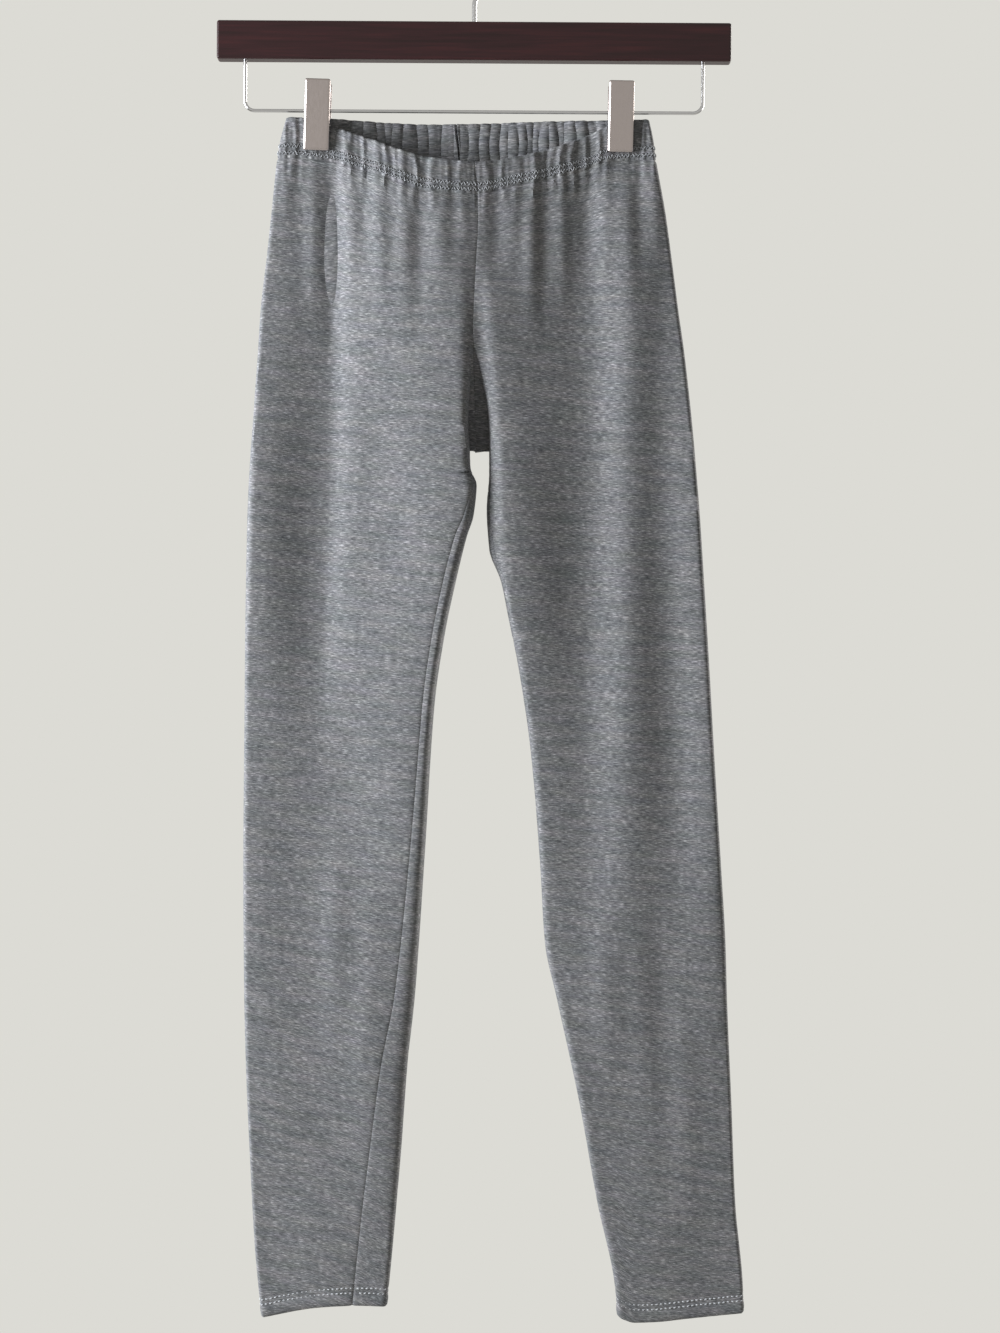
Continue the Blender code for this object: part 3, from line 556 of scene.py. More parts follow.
def section(side, leg, drop):
    """One leg's level section, as out and y, from the front seam round the side to the back.

    Below the crotch it is closed and starts at the inseam. Above, the inner front edge sinks
    into the cleft between the legs and the section ends at the two middle seams.
    """
    closed = drop > CROTCH
    radius = float(smooth(drop, DEPTHS, 5))
    edges = np.vstack([WAIST[:, [0, 1 if side < 0 else 2]], leg[:, :2]])
    outer = float(smooth(drop, edges, 1))
    front_seam = side * float(smooth(drop, MIDDLE_SEAMS, 1)) + GAP / 2
    back_seam = side * float(smooth(drop, MIDDLE_SEAMS, 2)) + GAP / 2
    inner = float(smooth(drop, leg, 2))
    if not closed:
        inner = max(inner, front_seam) if drop > FORK else front_seam
    middle = (outer + inner) / 2

    out_side, full_side = quarter(middle, outer, radius)
    front_side = -front_depth(side * out_side, drop) * full_side
    back_side = back_depth(side * out_side, drop) * full_side
    out_in, full_in = quarter(middle, inner, radius * INNER_FOLD)
    depth_in = front_depth(side * out_in, drop)
    if closed:
        edge = CROTCH_DEPTH * (1 - float(ease(drop, CROTCH, CROTCH + CLEFT_FADE)))
        front_in = edge - (depth_in + edge) * full_in
        back_in = edge + (back_depth(side * out_in, drop) - edge) * full_in
        line = np.column_stack([
            np.concatenate([out_in[::-1], out_side[1:], out_side[-2::-1], out_in[1:-1]]),
            np.concatenate([front_in[::-1], front_side[1:], back_side[-2::-1], back_in[1:-1]]),
        ])
        return start_at_inseam(line, inner, float(smooth(drop, leg, 3)))
    cleft = float(ease(drop, FORK, CROTCH))
    floor = CROTCH_DEPTH * cleft - depth_in[-1] * (1 - cleft)
    front_in = floor - (depth_in + floor) * full_in
    out_floor = np.linspace(front_seam, inner, FLOOR_POINTS + 1)[:-1]
    out_back, full_back = quarter(middle, back_seam, radius)
    back_in = back_depth(side * out_back, drop)
    back_in += (CROTCH_BACK - back_in) * (1 - full_back) * cleft
    return np.column_stack([
        np.concatenate([out_floor, out_in[::-1], out_side[1:], out_side[-2::-1], out_back[1:]]),
        np.concatenate([np.full(FLOOR_POINTS, floor), front_in[::-1], front_side[1:],
                        back_side[-2::-1], back_in[1:]]),
    ])


def start_at_inseam(line, inner, inset):
    """Turn a closed section so that it starts and ends at the inseam, half a gap from it."""
    loop = np.vstack([line, line[:1]])
    length = np.concatenate([[0], np.cumsum(np.hypot(*np.diff(loop, axis=0).T))])
    total = length[-1]
    reach = FLAT_POINTS + ROLL_POINTS - 2
    if inset >= 0:
        start = np.interp(inner + inset, loop[:reach, 0], length[:reach])
    else:
        start = np.interp(inner - inset, loop[:-reach - 1:-1, 0], length[:-reach - 1:-1])
    twice = np.vstack([line, line, line[:1]])
    twice_length = np.concatenate([length[:-1], length[:-1] + total, [2 * total]])
    at = start + np.linspace(GAP / 2, total - GAP / 2, 3 * len(line))
    return np.column_stack([np.interp(at, twice_length, twice[:, k]) for k in (0, 1)])


def share_out(line, front_columns, back_columns):
    """The section at the grid's columns, and each column's distance along the cloth.

    The columns stand close beside the seams, and the side fold is always the same column.
    """
    length = np.concatenate([[0], np.cumsum(np.hypot(*np.diff(line, axis=0).T))])
    fold, total = length[int(np.argmax(line[:, 0]))], length[-1]
    edge = SEAM_STEPS[-1] + SEAM_CLEAR
    at = np.concatenate([
        SEAM_STEPS,
        fold - (fold - edge) * np.linspace(1, 0, front_columns) ** CROWDING,
        fold + (total - edge - fold) * np.linspace(0, 1, back_columns)[1:] ** CROWDING,
        total - SEAM_STEPS[::-1],
    ])
    return np.column_stack([np.interp(at, length, line[:, k]) for k in (0, 1)]), at, at - fold


def height(side, hem, drop, out, front):
    """World z of one section's points, with the waist's sag and the hem's lift."""
    x = side * out
    top = smooth(x, FRONT_SAG, 1)
    seam = smooth(x, FRONT_SAG, 2)
    down = (drop - WAIST_TOP) / (BAND_SEAM - WAIST_TOP)
    if down <= 1:
        sag = top + (seam - top) * down
    else:
        sag = seam * (1 - float(ease(drop, BAND_SEAM, BAND_SEAM + SAG_REACH)))
    lift = smooth(out, hem, 1) * float(ease(drop, HEM_EDGE - HEM_LIFT_REACH, HEM_EDGE))
    back = BACK_SAG * slack(x) * (1 - float(ease(drop, WAIST_TOP, FORK)))
    return -drop - np.where(front, sag, back) + lift


def cloth_grid(side, leg, hem, drops, front_columns, back_columns):
    """The outer surface of one piece of cloth, and its points' distances along the cloth from
    the front seam and, with +X above 0, from the side fold."""
    points, along, across = [], [], []
    for drop in drops:
        line, at, from_fold = share_out(section(side, leg, drop), front_columns, back_columns)
        front = np.arange(len(at)) < len(SEAM_STEPS) + front_columns
        z = height(side, hem, drop, line[:, 0], front)
        points.append(np.column_stack([side * line[:, 0], line[:, 1], z]))
        along.append(at)
        across.append(side * from_fold)
    return np.array(points), np.array(along), np.array(across)


def outward(points, side):
    """Normals of a cloth grid that point out of the leg."""
    return surface_normals(points) * (-1 if side > 0 else 1)


def press_seams(points, along, side, depth, pucker):
    """Sink the cloth in a narrow groove at both of its seam edges, with small puckers beside.

    The groove is the depth times exp(-(distance from the seam / its width)). The puckers are
    waves along the seam that die out away from it in the same way.
    """
    total = along[:, -1:]
    near = np.minimum(along, total - along)
    row = np.cumsum(np.linalg.norm(np.gradient(points[:, 0], axis=0), axis=1))[:, None]
    shape = -depth * np.exp(-near / GROOVE_WIDTH)
    shape += pucker * np.sin(row / 0.95 + 1.3 * np.sin(row / 11)) * np.exp(-near / PUCKER_FADE)
    return points + outward(points, side) * shape[..., None]


def flat_cloth(across, drops, side):
    """UV in mm of the flat cloth: across from the side fold, and down with the courses' rise."""
    low, high = SPIRAL[side]
    twist = low + (high - low) * ease(drops, 500, HEM_EDGE)[:, None]
    return np.dstack([across, -drops[:, None] + across * twist]).reshape(-1, 2)


def cloth_piece(name, node, points, side, wall, finish, slot, uv):
    """A closed wall of cloth: the grid, the same grid moved in by the wall, and its four edges."""
    rows, columns = points.shape[:2]
    inside = points - outward(points, side) * wall
    flip = side < 0
    outer = grid_quads(rows, columns, 0, flip)
    inner = grid_quads(rows, columns, rows * columns, not flip)
    index = np.arange(rows * columns).reshape(rows, columns)
    rim = np.concatenate([index[0, :-1], index[:-1, -1], index[-1, :0:-1], index[:0:-1, 0]])
    following = np.roll(rim, -1)
    edge = np.column_stack([rim, following, following + rows * columns, rim + rows * columns])
    if flip:
        edge = edge[:, ::-1]
    everything = np.concatenate([points.reshape(-1, 3), inside.reshape(-1, 3)])
    return add_piece(name, everything, np.concatenate([outer, inner, edge]), finish, slot, (node,),
                     np.concatenate([uv, uv]))


def casing_piece(name, node, points, side, finish, uv):
    """The waist casing: a flat tube of cloth that rolls over at the top and at its lower edge.

    Its profile goes up the outer face, round a half circle, down the inner face, and round a
    half circle again, and it is carried along the waist.
    """
    rows, columns = points.shape[:2]
    normal = outward(points, side)
    radius = BAND_WALL / 2
    turn = np.linspace(0, math.pi, EDGE_STEPS + 1)[1:-1]
    loops, uvs = [points[::-1]], [uv.reshape(rows, columns, 2)[::-1]]
    for row, sign in ((0, 1), (-1, -1)):
        angle = turn if sign > 0 else turn[::-1]
        inward = radius * (1 - np.cos(angle))[:, None, None]
        up = sign * radius * np.sin(angle)[:, None, None] * np.array([0, 0, 1.0])
        loops.append(points[row] - normal[row] * inward + up)
        uvs.append(np.repeat(uvs[0][-1:] if sign > 0 else uvs[0][:1], len(turn), axis=0))
        if sign > 0:
            loops.append(points - normal * BAND_WALL)
            uvs.append(uvs[0][::-1])
    profile = np.concatenate(loops)
    steps = len(profile)
    flip = side > 0
    quads = grid_quads(steps, columns, 0, flip, round_rows=True)
    caps = []
    for column in (0, columns - 1):
        ring = np.arange(steps) * columns + column
        near, far = ring[:steps // 2], ring[::-1][:steps // 2]
        strip = np.column_stack([near[:-1], near[1:], far[1:], far[:-1]])
        caps.append(strip if (column == 0) == flip else strip[:, ::-1])
    return add_piece(name, profile.reshape(-1, 3), np.concatenate([quads] + caps), finish, "casing",
                     (node,), np.concatenate(uvs).reshape(-1, 2))


# ---------------------------------------------------------------- wires and threads


def sweep(points, radius, sides, hint):
    """A closed tube along a path: circles square to it, with no twist about the hint."""
    points = np.asarray(points, dtype=float)
    along = np.gradient(points, axis=0)
    along /= np.linalg.norm(along, axis=1, keepdims=True)
    first = np.cross(along, np.asarray(hint, dtype=float))
    first /= np.linalg.norm(first, axis=1, keepdims=True)
    second = np.cross(along, first)
    angle = np.linspace(0, 2 * math.pi, sides, endpoint=False)[None, :, None]
    rings = points[:, None] + radius * (first[:, None] * np.cos(angle) + second[:, None] * np.sin(angle))
    faces = [list(q) for q in grid_quads(len(points), sides, 0, True, round_columns=True)]
    last = (len(points) - 1) * sides
    faces += [list(range(sides))[::-1], list(range(last, last + sides))]
    return rings.reshape(-1, 3), faces


def join(parts):
    """Several (points, faces) as one."""
    points, faces, start = [], [], 0
    for some, which in parts:
        points.append(some)
        faces += [[int(v) + start for v in face] for face in which]
        start += len(some)
    return np.concatenate(points), faces


def stitches(path, normals, pitch, length, slant, wander, lift, uneven):
    """A row of stitches along a line on the cloth.

    Each is a short round thread that rises as the root of a sine out of the cloth and dips back
    into it. It slants across the line, one stitch up and the next down, which makes a zigzag,
    and wanders a little off the line as a sine of the stitch's number.
    """
    distance = np.concatenate([[0], np.cumsum(np.linalg.norm(np.diff(path, axis=0), axis=1))])
    number = np.arange(int((distance[-1] - length - 2 * THREAD_INSET) / pitch) + 1)
    t = np.linspace(0, 1, THREAD_RINGS)
    at = THREAD_INSET + number[:, None] * pitch + length * t
    spine = np.stack([np.interp(at, distance, path[:, k]) for k in range(3)], axis=-1)
    up = np.stack([np.interp(at, distance, normals[:, k]) for k in range(3)], axis=-1)
    up /= np.linalg.norm(up, axis=2, keepdims=True)
    along = np.gradient(spine, axis=1)
    along /= np.linalg.norm(along, axis=2, keepdims=True)
    side = np.cross(along, up)
    arch = np.sqrt(np.sin(math.pi * t))
    sunk = lift - THREAD_SUNK + uneven * np.sin(number * 0.31 + 2 * np.sin(number * 0.13))
    rise = THREAD_RADIUS * (THREAD_ARCH * arch + sunk[:, None])
    slope = slant * (1 - 2 * (number % 2)) + wander * np.sin(number * 1.7 + 0.6)
    drift = slope[:, None] * (2 * t - 1) + 0.4 * wander * np.sin(number * 0.9)[:, None]
    spine = spine + up * rise[..., None] + side * drift[..., None]
    angle = np.linspace(0, 2 * math.pi, THREAD_SIDES, endpoint=False)[:, None]
    taper = THREAD_RADIUS * (THREAD_TIP + (1 - THREAD_TIP) * arch)[None, :, None, None]
    ring = side[:, :, None] * np.cos(angle) + up[:, :, None] * np.sin(angle)
    points = (spine[:, :, None] + taper * ring).reshape(-1, 3)
    one = grid_quads(THREAD_RINGS, THREAD_SIDES, 0, False, round_columns=True)
    half = np.array([(0, 1, 2, 3), (0, 3, 4, 5)])  # the two quads of a six-sided end
    last = (THREAD_RINGS * THREAD_SIDES - 1) - half
    one = np.concatenate([one, half, last])
    starts = number[:, None, None] * (THREAD_RINGS * THREAD_SIDES)
    return points, (one[None] + starts).reshape(-1, 4)


# ---------------------------------------------------------------- finishes


def new_finish(name):
    """An empty material, its tree, and its Principled shader."""
    made = bpy.data.materials.new(name)
    made.use_nodes = True
    return made, made.node_tree, made.node_tree.nodes["Principled BSDF"]


def add_node(tree, kind, inputs=(), **settings):
    """A node with its settings. An input that is given another node's socket is linked to it."""
    made = tree.nodes.new(kind)
    for name, value in settings.items():
        setattr(made, name, value)
    for name, value in dict(inputs).items():
        if isinstance(value, bpy.types.NodeSocket):
            tree.links.new(value, made.inputs[name])
        else:
            made.inputs[name].default_value = value
    return made


def set_inputs(shader, **values):
    """Set a shader's uniform values. A name's underscores stand for spaces."""
    for name, value in values.items():
        shader.inputs[name.replace("_", " ")].default_value = value


def noise(tree, place, size, detail, roughness=0.5, **inputs):
    """Noise whose blobs have the given sizes in metres along X, Y and, in space, Z."""
    scale = [1 / length for length in size] + [1.0] * (3 - len(size))
    scaled = add_node(tree, "ShaderNodeMapping", {"Vector": place, "Scale": scale})
    return add_node(tree, "ShaderNodeTexNoise", {
        "Vector": scaled.outputs["Vector"], "Scale": 1.0, "Detail": detail, "Roughness": roughness,
        **inputs,
    }, noise_dimensions=f"{len(size)}D").outputs


def tones(tree, value, stops):
    """A colour that runs through stops, pairs of place and sRGB hex colour, as a value rises."""
    ramp = add_node(tree, "ShaderNodeValToRGB", {"Fac": value})
    elements = ramp.color_ramp.elements
    while len(elements) < len(stops):
        elements.new(0.5)
    for element, (place, text) in zip(elements, stops):
        element.position = place
        element.color = colour(text)
    return ramp.outputs["Color"]


def ranged(tree, value, low, high):
    """A noise value, which lies mostly between 0.3 and 0.7, spread from low to high."""
    return add_node(tree, "ShaderNodeMapRange", {
        "Value": value, "From Min": 0.3, "From Max": 0.7, "To Min": low, "To Max": high}).outputs["Result"]


def relief(tree, shader, height, strength, distance):
    """Bump the surface by a height value, over a distance in metres."""
    bumped = add_node(tree, "ShaderNodeBump", {"Strength": strength, "Distance": distance, "Height": height})
    tree.links.new(bumped.outputs["Normal"], shader.inputs["Normal"])


def heather_jersey(name):
    """Heather grey single jersey, ring-spun cotton and viscose, knitted and brushed.

    Dark and pale dyed fibres lie in one yarn, so the eye sees a mid grey full of short level
    flecks: each is 2 to 5 mm of one course and less than 1 mm high. The surface is matt with a
    soft bloom of fibre ends that pales it at a glancing angle.
    """
    made, tree, shader = new_finish(name)
    flat = add_node(tree, "ShaderNodeUVMap", uv_map="flat_cloth").outputs["UV"]
    fleck = noise(tree, flat, (0.0042, 0.00066), 2.5, 0.62, Distortion=0.25)["Fac"]
    fibre = tones(tree, fleck, ((0.30, "#56575a"), (0.44, "#717274"), (0.57, "#7e7f81"), (0.72, "#abacae")))
    # Bands of lighter and darker, warmer and cooler yarn, about 6 mm high and 30 mm long.
    band = noise(tree, flat, (0.030, 0.006), 4.0, 0.62)
    level = ranged(tree, band["Fac"], 0.80, 1.20)
    tint = add_node(tree, "ShaderNodeVectorMath", {
        0: band["Color"], 1: (0.16, 0.10, 0.16), 2: (0.92, 0.95, 0.92),
    }, operation="MULTIPLY_ADD").outputs["Vector"]
    shade = fibre
    for factor in (tint, level):
        shade = add_node(tree, "ShaderNodeVectorMath", {0: shade, 1: factor},
                         operation="MULTIPLY").outputs["Vector"]
    tree.links.new(shade, shader.inputs["Base Color"])
    # Thick and thin yarn along the courses, which are 0.5 mm apart and are drawn 0.9 mm apart,
    # so that they show.
    relief(tree, shader, noise(tree, flat, (0.0022, 0.0009), 1.5)["Fac"], 0.3, 0.0004)
    set_inputs(shader, Roughness=0.95, Specular_IOR_Level=0.15, Sheen_Weight=0.22,
               Sheen_Roughness=0.45, Sheen_Tint=colour("#c8ccd2"))
    return made


def spun_polyester_thread():
    """Pale grey spun polyester sewing thread: brighter than the cloth, with a dull gloss.

    Its two plies twist every 1.2 mm, which breaks the highlight into short dashes. The twist bumps the
    thread, and its colour is painted paler on the bumps and darker between them: painted highlight and
    painted shade.
    """
    made, tree, shader = new_finish("spun_polyester_thread")
    place = add_node(tree, "ShaderNodeTexCoord").outputs["Object"]
    twist_length = 0.0012
    twist = add_node(tree, "ShaderNodeTexWave", {
        "Vector": place, "Scale": 1 / twist_length / 2, "Distortion": 1.5,
    }, bands_direction="DIAGONAL").outputs["Fac"]
    # Painted highlight and shade: the colour follows the bump's twist, paler on its crests and darker in its
    # grooves.
    pale = tones(tree, twist, ((0.2, "#a4a7ab"), (0.8, "#cfd2d5")))
    tree.links.new(pale, shader.inputs["Base Color"])
    relief(tree, shader, twist, 0.4, 0.0001)
    set_inputs(shader, Roughness=0.55)
    return made


def mahogany_lacquer():
    """Mahogany stained dark red-brown under sprayed nitrocellulose lacquer.

    The stain hides most of the figure: only faint long streaks along the bar and fine open
    pores show, under a clear, slightly rippled gloss.
    """
    made, tree, shader = new_finish("stained_mahogany_lacquer")
    place = add_node(tree, "ShaderNodeTexCoord").outputs["Object"]
    streak = noise(tree, place, (0.060, 0.0025, 0.0025), 5.0, 0.6, Distortion=0.4)["Fac"]
    stain = tones(tree, streak, ((0.30, "#200b0c"), (0.52, "#2b1114"), (0.72, "#381719")))
    tree.links.new(stain, shader.inputs["Base Color"])
    pores = noise(tree, place, (0.006, 0.0005, 0.0005), 2.0)["Fac"]
    relief(tree, shader, pores, 0.25, 0.00015)
    set_inputs(shader, Roughness=0.42, Specular_IOR_Level=0.25, Coat_Weight=0.3, Coat_Roughness=0.16)
    return made


def metal(name, tint, low, high, grit):
    """A plated metal: its colour, the range of its roughness, and its grit in metres along XYZ.

    The grit is drawn out along the direction of polishing, which spreads each highlight across
    it and leaves fine lines.
    """
    made, tree, shader = new_finish(name)
    place = add_node(tree, "ShaderNodeTexCoord").outputs["Object"]
    lines = noise(tree, place, grit, 4.0, 0.65)["Fac"]
    tree.links.new(ranged(tree, lines, low, high), shader.inputs["Roughness"])
    relief(tree, shader, lines, 0.12, 0.00005)
    set_inputs(shader, Base_Color=colour(tint), Metallic=1.0)
    return made


# ---------------------------------------------------------------- the leggings

def tuck_under(points, side, drops):
    """Take the top of a leg in under the casing, so that the casing stands proud."""
    depth = TUCK * (1 - ease(drops, BAND_SEAM - 0.6, BAND_SEAM + 2.2))
    return points - outward(points, side) * depth[:, None, None]


def turn_hem(points, side):
    """Round the hem's fold in along its edge and press the twin rows of stitches in.

    The fold is a parabola. The rows and the swell below them are exp(-(distance / width)
    squared), and the step where the hem starts is exp(-(distance / width)).
    """
    drops = HEM_DROPS[:, None]
    fold = HEM_ROLL_DEPTH * np.clip((drops - HEM_EDGE + HEM_ROLL) / HEM_ROLL, 0, 1) ** 2
    rows = sum(HEM_SINK * np.exp(-(((drops - row) / HEM_SINK_WIDTH) ** 2)) for row in HEM_ROWS)
    step = HEM_STEP * np.exp(-((drops - HEM_STITCH) / HEM_STEP_WIDTH))
    swell = HEM_SWELL * np.exp(-(((drops - HEM_SWELL_DROP) / HEM_SWELL_WIDTH) ** 2))
    return points - outward(points, side) * (fold + rows + step - swell)[..., None]


def row_on(points, drops, drop, side):
    """The line along a cloth grid at one drop, with the normals on it."""
    exact = np.interp(drop, drops, np.arange(len(drops)))
    low = int(exact)
    share = exact - low
    normal = outward(points, side)
    return (points[low] * (1 - share) + points[low + 1] * share,
            normal[low] * (1 - share) + normal[low + 1] * share)


def build_leggings():
    """Each side's casing, leg panel and turned hem, with the rows of stitches that hold them."""
    jersey = heather_jersey("heather_cotton_jersey")
    gathered = heather_jersey("gathered_heather_casing")
    thread = spun_polyester_thread()
    for word, side, leg, hem in (("right", -1, RIGHT_LEG, RIGHT_HEM), ("left", 1, LEFT_LEG, LEFT_HEM)):
        points, along, across = cloth_grid(side, leg, hem, BAND_DROPS, *BAND_COLUMNS)
        for row in CASING_ROWS:
            sink = ROW_SINK * np.exp(-(((BAND_DROPS - row) / ROW_WIDTH) ** 2))
            points = points - outward(points, side) * sink[:, None, None]
        points = press_seams(points, along, side, BAND_GROOVE, 0.0)
        band = casing_piece(f"waist_casing_{word}", f"waistband_{word}", points, side, gathered,
                            flat_cloth(across, BAND_DROPS, side))
        rows = [stitches(*row_on(points, BAND_DROPS, drop, side), *ZIGZAG) for drop in CASING_ROWS]
        band_thread = add_piece(f"waist_casing_{word}_stitches", *join(rows), thread, "casing")

        points, along, across = cloth_grid(side, leg, hem, LEG_DROPS, *LEG_COLUMNS)
        points = press_seams(tuck_under(points, side, LEG_DROPS), along, side, LEG_GROOVE, LEG_PUCKER)
        panel = cloth_piece(f"leg_panel_{word}", f"leg_{word}", points, side, LEG_WALL, jersey, "jersey",
                            flat_cloth(across, LEG_DROPS, side))

        points, along, across = cloth_grid(side, leg, hem, HEM_DROPS, *LEG_COLUMNS)
        points = press_seams(turn_hem(points, side), along, side, HEM_GROOVE, 0.0)
        hem_fold = cloth_piece(f"turned_hem_{word}", f"hem_{word}", points, side, HEM_WALL, jersey, "jersey",
                               flat_cloth(across, HEM_DROPS, side))
        rows = [stitches(*row_on(points, HEM_DROPS, drop, side), *TWIN_ROW) for drop in HEM_ROWS]
        hem_thread = add_piece(f"turned_hem_{word}_stitches", *join(rows), thread, "jersey")


# ---------------------------------------------------------------- the hanger


def arc(centre, radius, start, end, count):
    """Points on a circle in the XZ plane; angles in degrees from +X towards +Z."""
    angle = np.radians(np.linspace(start, end, count))
    return np.column_stack([centre[0] + radius * np.cos(angle), np.zeros(count),
                            centre[1] + radius * np.sin(angle)])


def hook_path():
    """Stem, a neck that swings out to the circle on a cubic curve, and the round hook."""
    radius = HOOK_INNER_RADIUS + HOOK_WIRE / 2
    crook = arc((0, -HOOK_INNER_RADIUS), radius, HOOK_START, HOOK_END, 120)
    lean = math.radians(HOOK_START)
    foot = np.array([0, 0, -HOOK_NECK])
    reach = NECK_PULL * np.linalg.norm(crook[0] - foot)
    handle_a = foot + np.array([0, 0, reach])
    handle_b = crook[0] - reach * np.array([-math.sin(lean), 0, math.cos(lean)])
    t = np.linspace(0, 1, 40)[:-1, None]
    u = 1 - t
    neck = u ** 3 * foot + 3 * u * u * t * handle_a + 3 * u * t * t * handle_b + t ** 3 * crook[0]
    return np.concatenate([[[0, 0, -BAR_TOP - SOCKET]], neck, crook])


def rail_path():
    """Down from the bar, round a corner, along under it and up again."""
    inside, level = RAIL_HALF - RAIL_CORNER, RAIL_CORNER - RAIL_DROP
    return np.concatenate([
        [[-RAIL_HALF, 0, SOCKET - BAR_BOTTOM]],
        arc((-inside, level), RAIL_CORNER, 180, 270, 20),
        arc((inside, level), RAIL_CORNER, 270, 360, 20),
        [[RAIL_HALF, 0, SOCKET - BAR_BOTTOM]],
    ])


def build_bar(finish):
    """A planed bar with its edges eased: a block and a rounding."""
    x, y = BAR_LENGTH / 2, BAR_THICK / 2
    corners = np.array([(a, b, c) for a in (-x, x) for b in (-y, y) for c in (-BAR_BOTTOM, -BAR_TOP)])
    faces = [(0, 1, 3, 2), (4, 6, 7, 5), (0, 4, 5, 1), (2, 3, 7, 6), (0, 2, 6, 4), (1, 5, 7, 3)]
    bar = add_piece("hanger_bar_lacquered", corners, faces, finish, "bar", ("hanger_bar",))
    ease_edges = bar.modifiers.new("eased_edges", "BEVEL")
    ease_edges.width = BAR_EDGE * MM
    ease_edges.segments = 5
    ease_edges.harden_normals = True


def turned(points, axis, degrees):
    """Points turned about X, Y or Z through the origin."""
    angle = math.radians(degrees)
    a, b = ((1, 2), (2, 0), (0, 1))["XYZ".index(axis)]
    made = np.array(points, dtype=float)
    made[:, a] = points[:, a] * math.cos(angle) - points[:, b] * math.sin(angle)
    made[:, b] = points[:, a] * math.sin(angle) + points[:, b] * math.cos(angle)
    return made


def plate():
    """A pressed tray: its profile carried round a rectangle with round corners."""
    half, low, high = CLIP_WIDTH / 2, -CLIP_BELOW, CLIP_ABOVE
    angle = np.radians(np.linspace(0, 90, CORNER_POINTS))
    loops = []
    for inset, back in PLATE_PROFILE:
        radius = max(CLIP_CORNER - inset, LEAST_CORNER)
        loop = []
        for sx, sz, start in ((1, -1, -90), (1, 1, 0), (-1, 1, 90), (-1, -1, 180)):
            centre_x = sx * (half - inset - radius)
            centre_z = (high - inset - radius) if sz > 0 else (low + inset + radius)
            turn = angle + math.radians(start)
            loop.append(np.column_stack([centre_x + radius * np.cos(turn), np.full(CORNER_POINTS, back),
                                         centre_z + radius * np.sin(turn)]))
        loops.append(np.concatenate(loop))
    count = len(loops[0])
    faces = [list(q) for q in grid_quads(len(loops), count, 0, False, round_columns=True)]
    last = (len(loops) - 1) * count
    faces += [list(range(count)), list(range(last, last + count))[::-1]]
    return np.concatenate(loops), faces


def ear(along):
    """A tab from the plate to the rail: a flat ring whose rim is a circle that runs out square
    towards the plate, and whose bore goes round the rail."""
    angle = np.linspace(0, 2 * math.pi, EAR_POINTS, endpoint=False)
    towards = np.maximum(np.cos(angle), 1e-6)
    rim = np.minimum(EAR_RADIUS / np.maximum(np.abs(np.sin(angle)), 1e-6), EAR_REACH / towards)
    rim = np.where(np.cos(angle) > 0, rim, EAR_RADIUS)
    half = EAR_THICK / 2
    loops = [
        np.column_stack([np.full(EAR_POINTS, along + x), -reach * np.cos(angle), reach * np.sin(angle)])
        for reach, x in ((rim, half), (rim, -half), (EAR_BORE, -half), (EAR_BORE, half))
    ]
    faces = grid_quads(len(loops), EAR_POINTS, 0, True, round_rows=True, round_columns=True)
    return np.concatenate(loops), faces


def clip_spring():
    """A coil round the rail whose two arms press the thumb ends of the plates apart."""
    start = 0.5 * math.pi
    angle = np.linspace(start, start + SPRING_TURNS * 2 * math.pi, SPRING_POINTS)
    coil = np.column_stack([np.linspace(-SPRING_HALF, SPRING_HALF, SPRING_POINTS),
                            SPRING_RADIUS * np.cos(angle), SPRING_RADIUS * np.sin(angle)])
    arm_a = np.array([(-SPRING_HALF, y, z) for y, z in SPRING_ARM])
    arm_b = np.array([(SPRING_HALF, -y, z) for y, z in SPRING_ARM[::-1]])
    return sweep(np.concatenate([arm_a, coil, arm_b]), SPRING_WIRE / 2, 10, (1, 0.01, 0.013))


def build_hanger():
    """The bar, the hook, the rail wire, and two clips of two plates and a spring each."""
    bar_finish = mahogany_lacquer()
    # Bright chromium plate over drawn wire: a hard clear mirror with faint drawing marks.
    chrome = metal("chrome_plated_wire", "#d3d4d6", 0.07, 0.20, (0.004, 0.0006, 0.0006))
    # Satin nickel plate on pressed steel: a soft warm grey gloss with fine upright brush lines,
    # real ones 0.05 mm apart and here 0.4 mm so that they show.
    nickel = metal("satin_nickel_plate", "#b9b0ad", 0.26, 0.42, (0.0004, 0.0004, 0.012))
    # Oil-tempered spring wire: darker, dull bright.
    steel = metal("tempered_spring_wire", "#8d8d90", 0.25, 0.38, (0.001, 0.001, 0.001))
    build_bar(bar_finish)
    add_piece("hanger_hook_chromed", *sweep(hook_path(), HOOK_WIRE / 2, 28, (0, 1, 0)), chrome, "wire",
              ("hanger_hook",))
    add_piece("hanger_wire_chromed", *sweep(rail_path(), RAIL_WIRE / 2, 24, (0, 1, 0)), chrome, "wire",
              ("hanger_wire",))
    for word, x, turn in CLIPS:
        place = np.array([x, 0, -RAIL_DROP])
        for face, facing, ear_out in EARS:
            points, faces = plate()
            points[:, 2] += CLIP_BELOW
            points = turned(points, "X", CLIP_LEAN)
            points += (0, -CLIP_STAND_OFF, -CLIP_BELOW)
            parts = [(points, faces)] + [ear(sign * ear_out) for sign in (-1, 1)]
            points, faces = join(parts)
            if facing < 0:
                points = turned(points, "Z", 180)
            add_piece(f"clip_{word}_{face}_plate", turned(points, "Y", turn) + place, faces, nickel,
                      "clip", (f"clip_{word}_{face}",))
        points, faces = clip_spring()
        add_piece(f"clip_{word}_spring_coil", turned(points, "Y", turn) + place, faces, steel, "spring",
                  (f"clip_{word}_spring",))


# ---------------------------------------------------------------- the room

def aim(item, place, target):
    """Put a lamp at a place and point it at a target, both in mm."""
    x, y, z = np.array(target, dtype=float) - np.array(place, dtype=float)
    item.location = np.array(place) * MM
    item.rotation_euler = (math.atan2(math.hypot(x, y), -z), 0, math.atan2(y, x) - math.pi / 2)


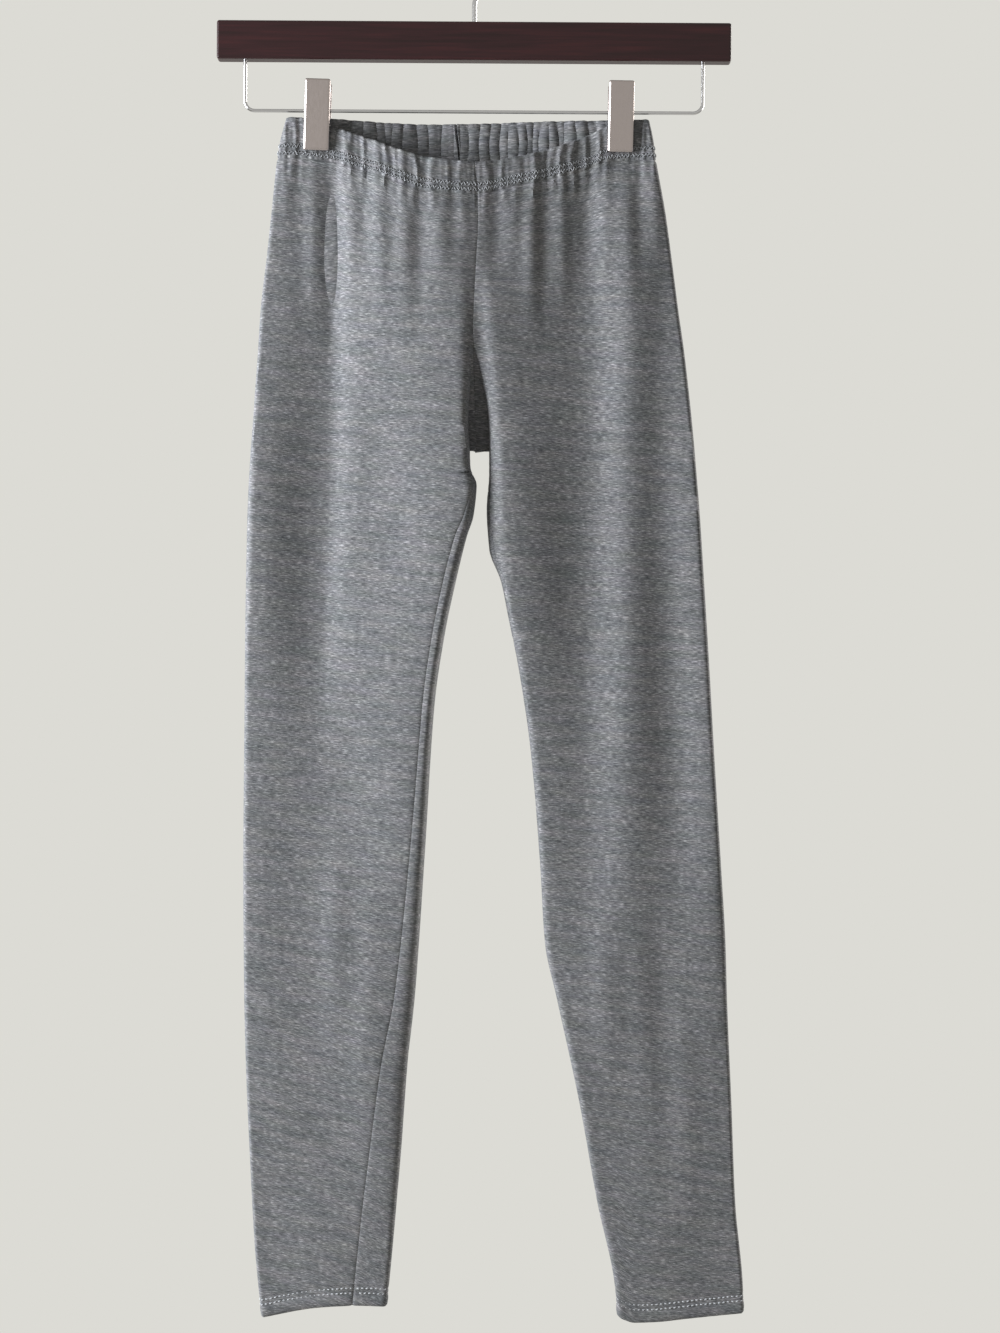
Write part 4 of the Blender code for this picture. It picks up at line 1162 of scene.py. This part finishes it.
def add_lamp(name, place, target, width, tall, power, tint):
    """A soft rectangular lamp."""
    data = bpy.data.lights.new(name, "AREA")
    data.shape = "RECTANGLE"
    data.size, data.size_y = width * MM, tall * MM
    data.energy = power
    data.color = colour(tint)[:3]
    item = bpy.data.objects.new(name, data)
    bpy.context.scene.collection.objects.link(item)
    aim(item, place, target)


def build_room():
    """A camera square to the leggings, a soft window lamp at the left, another behind, pale air
    and a floor."""
    data = bpy.data.cameras.new("camera")
    data.sensor_width = SENSOR
    data.lens = SENSOR * (CAMERA_BACK + CLOTH_PLANE) / FRAME_HEIGHT
    camera = bpy.data.objects.new("camera", data)
    camera.location = (VIEW_X * MM, -CAMERA_BACK * MM, VIEW_Z * MM)
    camera.rotation_euler = (math.pi / 2, math.radians(-CAMERA_ROLL), 0)
    bpy.context.scene.collection.objects.link(camera)
    bpy.context.scene.camera = camera

    for lamp in LAMPS:
        add_lamp(*lamp)

    world = bpy.data.worlds.new("pale_air")
    bpy.context.scene.world = world
    world.use_nodes = True
    tree = world.node_tree
    tree.nodes.clear()
    seen = add_node(tree, "ShaderNodeBackground", {"Color": colour("#dcdbd5"), "Strength": 1.0})
    path = add_node(tree, "ShaderNodeLightPath")
    # The air lights the cloth less than it shines in the metal and the lacquer.
    fill = add_node(tree, "ShaderNodeMapRange", {
        "Value": path.outputs["Is Diffuse Ray"], "To Min": 0.66, "To Max": 0.27}).outputs["Result"]
    felt = add_node(tree, "ShaderNodeBackground", {"Color": colour("#f2efe9"), "Strength": fill})
    mix = add_node(tree, "ShaderNodeMixShader", {
        0: path.outputs["Is Camera Ray"], 1: felt.outputs[0], 2: seen.outputs[0]})
    add_node(tree, "ShaderNodeOutputWorld", {"Surface": mix.outputs[0]})

    finish, tree, shader = new_finish("painted_floor")
    set_inputs(shader, Base_Color=colour("#dddbd5"), Roughness=0.8)
    angle = np.linspace(0, 2 * math.pi, FLOOR_SIDES, endpoint=False)
    ring = np.column_stack([np.cos(angle), np.sin(angle), np.zeros(FLOOR_SIDES)]) * FLOOR_RADIUS
    mesh = bpy.data.meshes.new("floor")
    mesh.from_pydata(((ring - (0, 0, FLOOR_DROP)) * MM).tolist(), [], [list(range(FLOOR_SIDES))])
    mesh.materials.append(finish)
    floor = bpy.data.objects.new("floor", mesh)
    bpy.context.scene.collection.objects.link(floor)
    bpy.context.scene.view_settings.view_transform = "Standard"


build_leggings()
build_hanger()
build_room()
